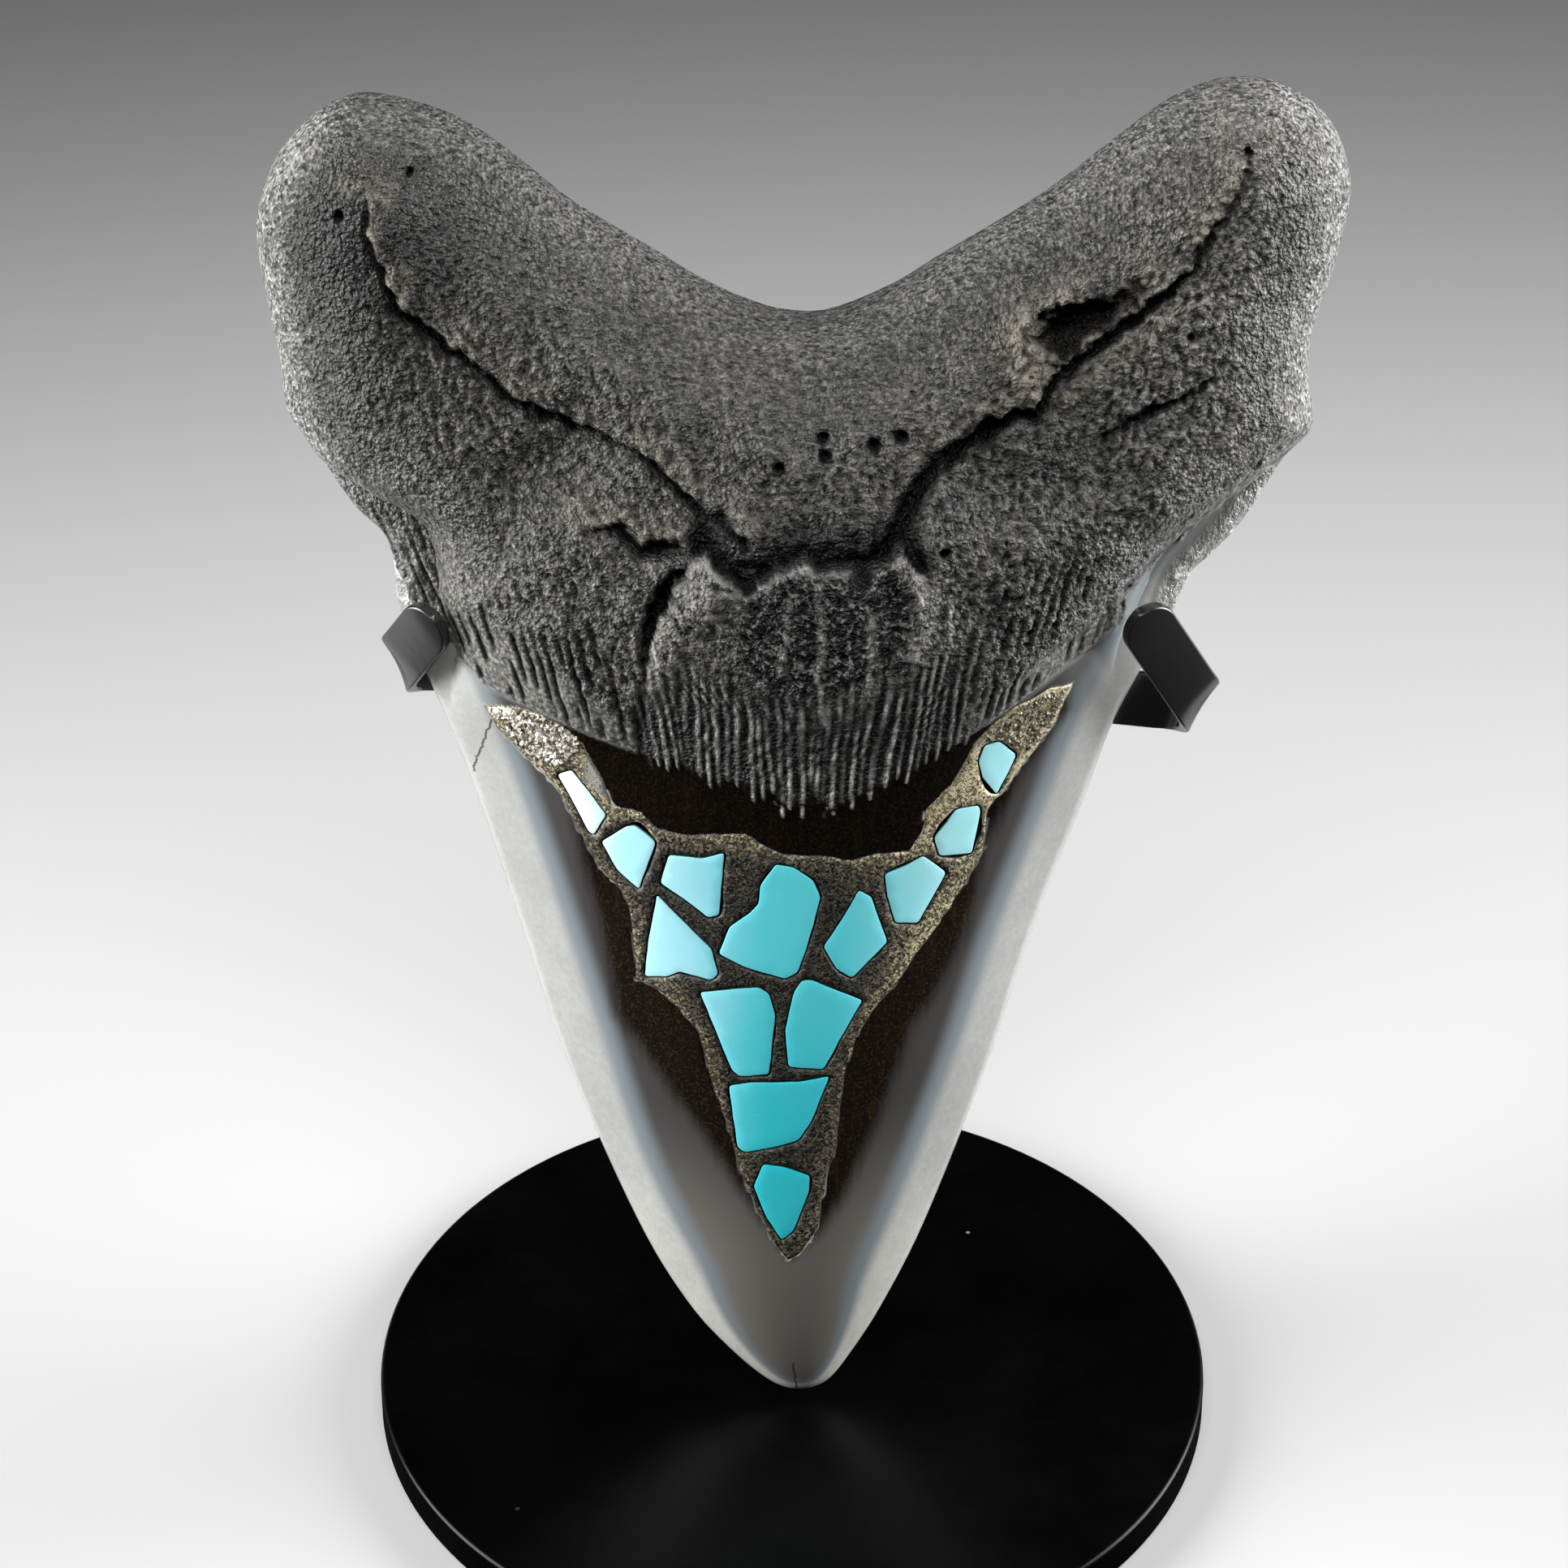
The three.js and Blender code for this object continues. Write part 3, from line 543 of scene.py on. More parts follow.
def back_height(across, up, inside):
    crown = crown_height(across, up, inside, **CROWN_BACK)
    root = LOBE_BACK * dome(inside / LOBE_ROUNDING)
    on_root = smoothstep(BACK_ROOT["low"], BACK_ROOT["high"], up - BACK_ROOT["rise"] * np.abs(across))
    return crown * (1 - on_root) + root * on_root


def face_grid():
    """Places over the face: rows bent like the root's top edge, columns running down to the tip."""
    even = np.linspace(0, 1, COLUMNS + 1)
    s = even - SIDE_COLUMN_CROWDING * np.sin(2 * math.pi * even)
    t = np.concatenate([
        np.linspace(0, ROOT_SHARE, ROOT_ROWS, endpoint=False), np.linspace(ROOT_SHARE, 1, CROWN_ROWS + 1)])
    top = points_along(outline_stretch(LEFT_CREST, RIGHT_CREST), s)
    bottom = points_along(outline_stretch(TIP_RIGHT, TIP_LEFT)[::-1], s)
    right = points_along(outline_stretch(RIGHT_CREST, TIP_RIGHT), t)
    left = points_along(outline_stretch(TIP_LEFT, len(TOOTH_OUTLINE))[::-1], t)
    s = s[None, :, None]
    t = t[:, None, None]
    bow_left = left[:, None] - top[0] * (1 - t) - bottom[0] * t
    bow_right = right[:, None] - top[-1] * (1 - t) - bottom[-1] * t
    return top * (1 - t) + bottom * t + bow_left * (1 - s) ** 2 + bow_right * s ** 2


def lumps(points, size, shift=0.0):
    """Cloudy noise from -1 to 1 at points in millimetres, with lumps of the given size."""
    return np.array([noise.noise(place) for place in (np.asarray(points) / size + shift).tolist()])


def fibre_lumps(across, up, width, length, shift=0.0):
    """Cloudy noise drawn out along the root's fibres, which run together a little below the tip."""
    angle = np.arctan2(across, up + FIBRE_ORIGIN)
    reach = np.hypot(across, up + FIBRE_ORIGIN)
    flow = np.stack([angle * FIBRE_RADIUS / width, reach / length, np.zeros_like(angle)], axis=1)
    return lumps(flow, 1, shift)


# Cracks of the root: path on the face, half width and depth along it from its first point to its last, and
# how much of its upper lip has crumbled
CRACKS = [
    {"path": [(-40.7, 122.9), (-40.6, 119.2), (-39.4, 115.8), (-37.8, 112.3), (-36.1, 111.2), (-33.4, 109),
              (-30.3, 106.9), (-27.3, 103.9), (-23.5, 102.6), (-20.4, 101.4), (-17, 100.1), (-13.9, 98.6),
              (-11.5, 96.3), (-9.1, 94), (-7.1, 93.1), (-5.1, 91.5)],
     "width": (0.3, 0.5, 0.9, 0.6, 0.9, 0.45, 0.6, 1.0), "depth": (0.6, 1.1, 1.8, 1.4, 1.8, 1.3, 1.5, 2.4),
     "crumbled": 1},
    {"path": [(42.2, 127), (41.4, 123.6), (39.8, 121.4), (38.1, 118.9), (37, 116.3), (34.8, 114.4),
              (32.3, 112.3), (29.4, 110.1), (26.5, 107.9), (24.2, 106.2), (23.2, 104.6), (22.2, 102.6),
              (20.4, 103), (17.7, 101.6),
              (14.8, 99.9), (11.8, 97.9), (10, 95), (8.5, 91.8), (6, 89.7)],
     "width": (0.3, 0.45, 0.55, 0.7, 0.9, 0.8, 0.6, 1.2, 1.2, 1.45, 1.7),
     "depth": (0.6, 1, 1.4, 1.9, 2.4, 2.2, 1.7, 2.6, 2.6, 3, 3.6),
     "crumbled": 1},
    {"path": [(-9.1, 90.3), (-10.8, 89.6), (-12.6, 87.5), (-13.8, 84.7), (-14.6, 81.9), (-14.9, 78.3),
              (-15.2, 75), (-15.6, 70.5)],
     "width": (0.25, 0.5, 0.9, 0.8, 0.45, 0.4, 0.35, 0.3), "depth": (0.6, 1.5, 2.8, 2.6, 1.2, 0.9, 0.8, 0.5),
     "crumbled": 0},
    {"path": [(28.5, 100.1), (31, 101.8), (33.3, 103), (35, 103.5), (35.9, 104.1), (37.5, 104.7),
              (39.1, 106.1)],
     "width": (0.5, 0.7, 0.7, 0.5, 0.4), "depth": (1, 1.4, 1.5, 1, 0.4), "crumbled": 0},
    {"path": [(-20.3, 91.9), (-18.6, 92.6), (-17, 92.4), (-15.8, 91.6), (-15, 90.6), (-13.4, 91),
              (-11.6, 90.8)],
     "width": (0.3, 0.6, 0.8, 1, 1.2), "depth": (0.5, 1.2, 1.7, 2, 2.4), "crumbled": 1},
]

# The hollow torn beside the right crack, growing shallow to the right, and its pale walls
HOLLOW = np.array([
    (22, 111.3), (23.2, 112.2), (27.2, 113.7), (30.1, 114.4), (32.6, 116), (33.7, 114.4), (31.2, 111.9),
    (26.5, 108.7), (24.2, 107), (22.9, 109),
])
HOLLOW_DEPTH = 4
HOLLOW_SHALLOWS = (27.5, 33)
CRUMBLED_WALLS = [
    {"path": [(20.7, 111.4), (21.1, 108.4), (22, 105)], "reach": 1.5, "paleness": 1.4},
    {"path": [(24.8, 104.4), (27.8, 106.4), (31.3, 109), (35.8, 112.4)], "reach": 0.8, "paleness": 0.6},
]

# Fine canals and wider pits: across, up and radius
FORAMINA = [
    (-2, 98.3, 0.62), (2.2, 101.1, 0.6), (2.3, 99.4, 0.66), (6.9, 100.3, 0.7), (9.5, 101, 0.7),
    (-36.7, 125.2, 0.3), (-43.3, 121.2, 0.45), (36.8, 109.9, 0.35), (42.1, 127.1, 0.35),
]
FORAMEN_DEPTH = 1.8
PITS = [(-7.2, 93.2, 1.1), (-5.4, 89, 1.4), (9.1, 93.1, 1.3), (13.4, 90.2, 0.35)]
PIT_DEPTH = 2.6

# The loose flap in the middle: its upper lip, its tarry face, its thin ridges and the lumps beside it
FLAP_LIP = np.array([
    (-10.8, 89.6), (-9.1, 90.5), (-7, 88.8), (-5, 87), (-3.2, 88.5), (-1.8, 89.1), (0, 90.1), (0.9, 89.9),
    (1.7, 89.3), (3.6, 89.1), (4.9, 89.4), (6.2, 89.3), (7.9, 90.2), (9.2, 91.4), (10.2, 90.2), (11.1, 88.7),
])
FLAP_TRENCH_DEPTH = 3.4
FLAP_RISE = 0.9
FLAP_OUTLINE = np.array([
    (-5, 86.3), (0, 89.1), (4.9, 88.7), (9.1, 89.7), (11.8, 87.2), (12.2, 82.8), (9.5, 79.3), (5.7, 76.9),
    (1.1, 76.1), (-3.6, 77.8), (-5.9, 81.1),
])
FLAP_RIDGES = [
    [(-1, 86.7), (-1.4, 82.8), (-1.9, 79.4)], [(1.6, 88.3), (2, 82.8), (1.8, 78.7), (2.3, 73.6)],
    [(6.7, 85.1), (6.5, 76.9)], [(14.1, 86.3), (14.3, 81.5)],
]
PALE_LUMPS = [
    {"path": [(-8.4, 89.2), (-7.4, 87.8), (-10.5, 85.3), (-13.2, 81.5), (-14.4, 77.4)], "reach": 1.9},
    {"path": [(9.4, 90.6), (11, 88), (11.8, 83.6), (10.6, 80.8)], "reach": 0.9},
]

# Low dips between the lobes, the period of the combed fringe, and the darker patch on the left lobe
SHALLOW_VALLEYS = [
    {"path": [(-20.5, 100.5), (-24, 97.5), (-26.5, 94), (-27.8, 90.5)], "width": 3.2, "depth": 0.9},
    {"path": [(-16, 92.5), (-13, 93.5), (-9, 92)], "width": 2.5, "depth": 0.8},
    {"path": [(17, 97), (18.5, 92), (17, 86)], "width": 3.5, "depth": 0.6},
    {"path": [(28, 99), (27, 93), (24, 87)], "width": 3.5, "depth": 0.5},
    {"path": [(-27.6, 92.2), (-28, 89.6)], "width": 0.9, "depth": 1.3},
]
COMB_PERIOD = 0.92
DARK_PATCH = {"across": -41, "up": 119, "wide": 10, "tall": 11}

# Where the enamel reaches up beside the root: its outline, and how far the bone next to it is worn smooth and
# painted lighter, beside the left seam as painted light over bone in shade
SHOULDER_START = (79, 83)
ENAMEL_SEAMS = [
    {"outline": [(-39.6, 86.6), (-38.2, 83.6), (-36, 80), (-33.2, 78), (-31, 75.4), (-30.3, 73.2), (-29, 60),
                 (-60, 70), (-60, 88)],
     "sleek_reach": 7},
    {"outline": [(48.5, 97.6), (44.8, 95.6), (42.4, 94), (37.8, 89.8), (33.8, 86.5), (31.4, 84.4), (31, 70),
                 (60, 80), (60, 99)],
     "sleek_reach": 2.4},
]


def inside_outline(places, outline):
    """Which places lie inside a closed outline."""
    x, y = places.T
    inside = np.zeros(len(places), bool)
    for (x1, y1), (x2, y2) in zip(outline, np.roll(outline, -1, axis=0)):
        crosses = (y1 > y) != (y2 > y)
        with np.errstate(divide="ignore", invalid="ignore"):
            inside ^= crosses & (x < (x2 - x1) * (y - y1) / (y2 - y1) + x1)
    return inside


def depth_inside(places, outline):
    """Distance inside a closed outline, negative outside it."""
    closed = np.vstack([outline, outline[:1]])
    gap, _ = nearest_on_path(places, closed)
    return np.where(inside_outline(places, outline), gap, -gap)


def crack_marks(places, path, width, depth, crumbled):
    """How deep a crack is at places, and how near its crumbled upper lip is, from 0 to 1."""
    path = np.array(path, float)
    gap, along = nearest_on_path(places, path)
    half_width = np.interp(along, np.linspace(0, 1, len(width)), width)
    deepest = np.interp(along, np.linspace(0, 1, len(depth)), depth)
    line = path[np.argsort(path[:, 0])]
    above = smoothstep(-0.2, 0.6, places[:, 1] - np.interp(places[:, 0], *line.T))
    sloping = 0.3 * deepest * np.exp(-gap / 1.6) * (1 - above)
    steep = deepest * np.clip(1 - gap / half_width, 0, 1) ** 0.7
    return steep + sloping, crumbled * above * np.exp(-(gap / 2) ** 2)


def flap_marks(places, wobble, broken):
    """The torn flap at the middle of the root: how deep the trench above it is, and its other marks."""
    across, up = (places + wobble).T
    above_lip = up - np.interp(across, *FLAP_LIP.T)
    beside = smoothstep(-11, -9.5, across) * (1 - smoothstep(10.8, 12.5, across))
    over = smoothstep(-0.3, 0.3, above_lip)
    trench = FLAP_TRENCH_DEPTH * np.exp(-np.maximum(above_lip, 0) / 3.2) * over * beside
    flap = np.exp(np.minimum(above_lip, 0) / 3.5) * (1 - over) * beside
    crest = 0.7 * np.exp(-((above_lip + 0.3) / 0.22) ** 2) * beside * (0.3 + 0.7 * broken)
    for path in FLAP_RIDGES:
        gap, _ = nearest_on_path(places + 0.7 * wobble, np.array(path))
        crest = np.maximum(crest, np.exp(-(gap / 0.2) ** 2) * (0.4 + 0.6 * broken))
    lump = np.zeros(len(places))
    for pale in PALE_LUMPS:
        gap, _ = nearest_on_path(places + wobble, np.array(pale["path"]))
        lump = np.maximum(lump, np.exp(-(gap / pale["reach"]) ** 2) * (1 - over * beside))
    # Painted shade in the trench above the flap's lip, fading upwards
    gloom = np.exp(-np.maximum(above_lip, 0) / 5) * over * beside
    tarry = smoothstep(-1.5, 1, depth_inside(places + wobble, FLAP_OUTLINE))
    return trench, {"flap": flap, "crest": crest, "lump": lump, "gloom": gloom, "tarry": tarry}


def comb_marks(across, up):
    """The fringe of the root: thin ridges in the middle, slits at both sides, running with the fibres."""
    height = above_fringe(across, up)
    drift = fibre_lumps(across, up, 6, 25) + 0.55 * fibre_lumps(across, up, 1.9, 11, 30)
    drift += 0.12 * fibre_lumps(across, up, 0.9, 1.6, 45)
    turns = np.arctan2(across, up + FIBRE_ORIGIN) * FIBRE_RADIUS / COMB_PERIOD
    wave = 0.5 + 0.5 * np.cos(2 * math.pi * (turns + drift))
    broken = smoothstep(-0.4, 0.2, fibre_lumps(across, up, 0.9, 6, 60))
    flaked = smoothstep(-0.3, 0.2, fibre_lumps(across, up, 0.5, 1.1, 25))
    ridge = wave ** 6 * (0.2 + 0.8 * broken) * (0.55 + 0.45 * flaked)
    slit = (1 - wave) ** 3 * smoothstep(-0.2, 0.15, fibre_lumps(across, up, 1.5, 4.5, 90))
    middle = smoothstep(-16.5, -14.8, across) * (1 - smoothstep(13, 19, across))
    frayed = 1.5 * ridge + 1.1 * fibre_lumps(across, up, 2.4, 9, 15) + 0.6 * flaked - 1.2
    on_root = smoothstep(-0.15, 0.35, height + middle * frayed)
    band = 1 - smoothstep(8, 15, height + 3 * fibre_lumps(across, up, 2, 12, 5))
    beside = (1 - middle) * band * smoothstep(0, 1.5, height) * (1 - smoothstep(24, 33, across))
    left = 1 - smoothstep(-26, -17, across)
    sleek = (1 - middle) * (1 - smoothstep(2.2 + 2.5 * left, 4.5 + 6 * left, height + 1.2 * slit))
    comb = middle * band * on_root
    return {
        "on_root": on_root, "ridge": ridge * comb, "slit": slit * beside, "comb": comb, "sleek": sleek,
        "height": height,
    }


def broken_ground(across, up, ground, wobble):
    """The root's cracks, hollow and holes: how deep it is sunk, how crumbled, and where the hollow is."""
    wandering = np.stack([across, up], axis=1) + wobble
    patches = smoothstep(-0.3, 0.2, lumps(ground, 4, 33))
    sunk = np.zeros(len(across))
    lip = np.zeros(len(across))
    for crack in CRACKS:
        deep, crumbled = crack_marks(wandering, **crack)
        sunk = np.maximum(sunk, deep)
        lip = np.maximum(lip, crumbled * patches)
    in_hollow = depth_inside(wandering + 1.2 * wobble, HOLLOW)
    cave = smoothstep(-0.3, 0.9, in_hollow)
    shallow = 0.65 * smoothstep(*HOLLOW_SHALLOWS, across)
    cave_floor = 0.8 * lumps(ground, 1.4, 12) + 0.5 * lumps(ground, 0.6, 22)
    cave_depth = HOLLOW_DEPTH * (1 - shallow) * smoothstep(-0.5, 1.8, in_hollow) + cave * cave_floor
    sunk = np.maximum(sunk, cave_depth)
    lip = np.maximum(lip, cave * shallow)
    for wall in CRUMBLED_WALLS:
        gap, _ = nearest_on_path(wandering, np.array(wall["path"]))
        lip = np.maximum(lip, wall["paleness"] * np.exp(-(gap / wall["reach"]) ** 2))
    lip = np.maximum(lip, np.exp(-(np.minimum(in_hollow, 0) / 1.7) ** 2) * patches)
    for hole_across, hole_up, radius in FORAMINA:
        gap = np.hypot(across - hole_across, up - hole_up) / radius
        sunk = np.maximum(sunk, FORAMEN_DEPTH * np.exp(-gap ** 4))
    for pit_across, pit_up, radius in PITS:
        gap = np.hypot(*(wandering - (pit_across, pit_up)).T) / radius
        sunk = np.maximum(sunk, PIT_DEPTH * np.exp(-gap ** 2))
    return {"sunk": sunk, "lip": lip, "cave": cave}


def front_relief(across, up):
    """The root's damage and growth marks on the display face, each from 0 to 1 or in millimetres."""
    places = np.stack([across, up], axis=1)
    ground = np.stack([across, up, np.zeros_like(up)], axis=1)
    wobble = np.stack([lumps(ground, 1.3), lumps(ground, 1.3, 50)], axis=1) * 0.5
    wobble += np.stack([lumps(ground, 0.5), lumps(ground, 0.5, 50)], axis=1) * 0.25
    broken = smoothstep(-0.2, 0.2, lumps(ground, 1.1, 66))
    trench, marks = flap_marks(places, wobble, broken)
    marks |= comb_marks(across, up)
    marks |= broken_ground(across, up, ground, wobble)
    marks["sunk"] = np.maximum(marks["sunk"], trench)
    marks["crumbs"] = marks["lip"] * smoothstep(-0.2, 0.2, lumps(ground, 0.8, 90))
    marks["valley"] = np.zeros(len(places))
    for dip in SHALLOW_VALLEYS:
        gap, _ = nearest_on_path(places, np.array(dip["path"]))
        marks["valley"] = np.maximum(marks["valley"], dip["depth"] * np.exp(-(gap / dip["width"]) ** 2))

    high = smoothstep(*SHOULDER_START, up)
    for seam in ENAMEL_SEAMS:
        past_seam = depth_inside(places + wobble, np.array(seam["outline"]))
        marks["on_root"] *= 1 - smoothstep(-0.2, 0.3, past_seam)
        groove = np.exp(-((past_seam + 0.5) / 0.4) ** 2) + 0.7 * np.exp(-((past_seam + 1.9) / 0.35) ** 2)
        marks["slit"] = np.maximum(marks["slit"], groove * high * (0.3 + 0.7 * broken))
        # Beside each seam the bone is worn smooth and painted lighter; the wide reach on the left is painted
        # light over shaded bone
        marks["sleek"] = np.maximum(marks["sleek"], 0.8 * high * np.exp(-(past_seam / seam["sleek_reach"]) ** 2))
    marks["shoulder"] = high * (1 - marks["on_root"])
    # The left lobe is painted darker in one broad patch
    patch_across = (across - DARK_PATCH["across"]) / DARK_PATCH["wide"]
    patch_up = (up - DARK_PATCH["up"]) / DARK_PATCH["tall"]
    marks["stain"] = np.exp(-patch_across ** 2 - patch_up ** 2)
    return marks


def relief_height(marks, inside):
    """Relief out of the face, in millimetres, fading out at the tooth's edge."""
    height = 0.45 * marks["on_root"] * (1 - 0.7 * marks["comb"]) + 0.45 * marks["ridge"] - 0.6 * marks["slit"]
    height += FLAP_RISE * marks["flap"] + 0.2 * marks["crest"] + 0.8 * marks["lump"] + 0.5 * marks["crumbs"]
    height -= marks["sunk"] + marks["valley"]
    return height * dome(inside / 3)


def grit_pattern(points, drawn_out):
    """The root's gritty surface, from -1 in a pit to 1 on a grain, drawn out along the fibres as given."""
    even = 1 - 3.4 * np.abs(lumps(points, 0.68, 40))
    drawn = 1 - 3.4 * np.abs(fibre_lumps(points[:, 0], points[:, 1], 0.75, 1.8, 80))
    lattice = np.clip(even * (1 - drawn_out) + drawn * drawn_out, -1, 1)
    return 0.3 * lattice + 0.7 * np.clip(2.4 * lumps(points, 0.62, 10), -1, 1)


SHAPING_MARKS = ("flap", "valley", "height")


def grid_normals(points):
    """Unit normals of a grid of points, towards the viewer of the display face."""
    across = np.gradient(points, axis=1)
    down = np.gradient(points, axis=0)
    normal = np.cross(down, across)
    return normal / np.maximum(np.linalg.norm(normal, axis=2, keepdims=True), 1e-9)


def grid_cells(index, rows, columns, first_row, last_row, keep):
    """Faces over a grid of point numbers, keeping the border points that a finer neighbour needs."""
    faces = []
    for row in range(first_row, last_row, rows):
        for column in range(0, COLUMNS, columns):
            ring = [(row, column + k) for k in range(columns)]
            ring += [(row + k, column + columns) for k in range(rows)]
            ring += [(row + rows, column + k) for k in range(columns, 0, -1)]
            ring += [(row + k, column) for k in range(rows, 0, -1)]
            kept = [
                (r, c) for r, c in ring
                if ((r - row) % rows == 0 and (c - column) % columns == 0) or keep[r, c]]
            faces.append([index[place] for place in kept])
    return faces


def tooth_mesh():
    """Points on the face's own axes, faces, and the marks at each point."""
    grid = face_grid()
    shape = grid.shape[:2]
    last_row = shape[0] - 1
    places = grid.reshape(-1, 2)
    across, up = places.T
    inside, _ = nearest_on_path(places, RIM)
    on_edge = np.zeros(shape, bool)
    on_edge[[0, -1], :] = True
    on_edge[:, [0, -1]] = True
    on_edge = on_edge.reshape(-1)
    inside[on_edge] = 0

    marks = front_relief(across, up)
    smooth = np.column_stack([places, np.where(on_edge, 0, front_height(across, up, inside))])
    front = smooth.copy()
    front[:, 2] += relief_height(marks, inside)
    normals = grid_normals(smooth.reshape(*shape, 3)).reshape(-1, 3)
    rough = marks["on_root"] * (1 - 0.8 * marks["comb"]) * (1 - marks["sleek"]) * dome(inside / 4)
    coarse = 0.4 * lumps(smooth, 6) + 0.18 * lumps(smooth, 1.8, 20)
    drawn_out = 1 - smoothstep(16, 34, marks["height"])
    marks["shoulder"] *= 1 - smoothstep(1.2, 3.2, inside)
    # The root's rim is painted paler, partly as wear and partly as painted highlight where the side lamps
    # graze it
    marks["rubbed"] = (1 - smoothstep(0.5, 5, inside)) * np.maximum(smoothstep(38, 49, np.abs(across)), 0.35)
    marks["grit"] = grit_pattern(smooth, drawn_out) * rough * (0.5 + 0.5 * smoothstep(3, 14, inside))
    grain_depth = (0.3 - 0.12 * smoothstep(28, 44, marks["height"])) * (0.4 + 0.6 * smoothstep(3, 14, inside))
    front += normals * (coarse * rough + grain_depth * marks["grit"])[:, None]

    back_line = BACK_ROOT["edge"] + BACK_ROOT["rise"] * np.abs(across)
    back_root = smoothstep(-0.3, 0.3, up - back_line + 1.5 * lumps(smooth, 3))
    back = np.column_stack([places, np.where(on_edge, 0, -back_height(across, up, inside))])
    back_normals = -grid_normals(back.reshape(*shape, 3)).reshape(-1, 3)
    back_rough = back_root * dome(inside / 4)
    back_grit = grit_pattern(back, 0.5) * back_rough
    back += back_normals * (0.3 * lumps(back, 5) * back_rough + 0.15 * back_grit)[:, None]

    count = len(places)
    front_index = np.arange(count).reshape(shape)
    back_index = np.where(on_edge, np.arange(count), np.arange(count) + count).reshape(shape)
    on_side = on_edge.reshape(shape)
    faces = [
        [front_index[row, column], front_index[row + 1, column],
         front_index[row + 1, column + 1], front_index[row, column + 1]]
        for row in range(ROOT_ROWS) for column in range(COLUMNS)]
    by_root = on_side.copy()
    by_root[ROOT_ROWS] = True
    crown = grid_cells(front_index, 1, WIDE_COLUMNS, ROOT_ROWS, last_row, by_root)
    faces += [face[::-1] for face in crown]
    faces += grid_cells(back_index, BACK_ROWS, WIDE_COLUMNS, 0, last_row, on_side)

    points = np.concatenate([front, back])
    used = np.unique(np.concatenate([np.asarray(face) for face in faces]))
    renumber = np.full(len(points), -1)
    renumber[used] = np.arange(len(used))
    faces = [renumber[face] for face in faces]
    empty = np.zeros(count)
    columns = {
        name: np.concatenate([values, empty])[used]
        for name, values in marks.items() if name not in SHAPING_MARKS
    }
    columns["on_root"] = np.concatenate([marks["on_root"], back_root])[used]
    columns["grit"] = np.concatenate([marks["grit"], back_grit])[used]
    columns["inside"] = np.concatenate([inside, inside])[used]
    columns["behind"] = np.concatenate([empty, empty + 1])[used]
    return points[used], faces, columns


# Where the polish has gone through to the dark dentine, which the back doesn't show
DARK_ZONE = np.array([
    (-24, 70), (-22.6, 63.3), (-21.6, 57.2), (-20.1, 51.2), (-19.2, 46.3), (-18.4, 41.3), (-16.5, 38.9),
    (-14.7, 36.1), (-12.5, 32.9), (-10.3, 30), (-8, 26.2), (-5.7, 22.4), (-3.4, 19.1), (-1.2, 15.6),
    (0.3, 16.7), (2.6, 19), (5, 22.7), (7.2, 28.4), (9, 32.8), (10.4, 36.7), (11.5, 40.6), (13.5, 43.2),
    (15.5, 47), (16.8, 50.1), (17.7, 53.7), (18.4, 57.8), (19.7, 60.9), (20.9, 63.4), (22.1, 66),
    (24.6, 69.7), (26.6, 72.3), (26, 80), (0, 84), (-24, 80),
])
OUT_OF_DARK = 50


ENAMEL_BAND = {"tip": 1.5, "gain": 3.2, "rise": (1, 17)}

# How the root's marks are painted, group by group: mark, strength and colour
# The darker patch on the left lobe, and the rim painted paler, partly as wear and partly as painted highlight
PATCH_AND_RIM_BONE = [("stain", 0.95, srgb(32, 31, 29)), ("rubbed", 0.85, srgb(178, 177, 173))]
# Sleek bone is worn smooth and painted lighter, partly as painted light
SLEEK_COMB_AND_TARRY_BONE = [
    ("sleek", 0.85, srgb(136, 135, 130)), ("comb", 0.95, srgb(14, 13, 12)), ("tarry", 0.95, srgb(14, 13, 12)),
]
RAISED_BONE = [
    ("ridge", 0.95, srgb(214, 212, 207)), ("crest", 0.8, srgb(180, 178, 173)), ("slit", 0.95, srgb(10, 9, 8)),
    ("lip", 0.45, srgb(118, 112, 100)),
]

# Hair-fine cracks of the crown: upper end and lower end, across the tooth and in height, and colour
HAIRLINES = [
    ((-29.9, 74.2), (-32, 67.2), srgb(40, 36, 30)),
    ((-0.6, 10), (-0.1, 5), srgb(46, 44, 40)),
]


def painted(colour, layers):
    """A colour with marks of the mesh painted over it."""
    for name, strength, paint in layers:
        colour = (colour.mark(name) * strength).blend(colour, paint)
    return colour


def hairline(across, height, upper, lower):
    """Where a hair-fine crack shows, between two points."""
    lean = (upper[0] - lower[0]) / (upper[1] - lower[1])
    wander = (height.noise(0.9, detail=3) - 0.5) * 0.8
    gap = across - lower[0] - (height - lower[1]) * lean + wander
    near = 1 - (gap * gap).between(0.004, 0.02)
    above_end = height.between(lower[1] - 0.3, lower[1])
    past_end = height.between(upper[1], upper[1] + 0.3)
    return near * above_end * (1 - past_end) * 0.8


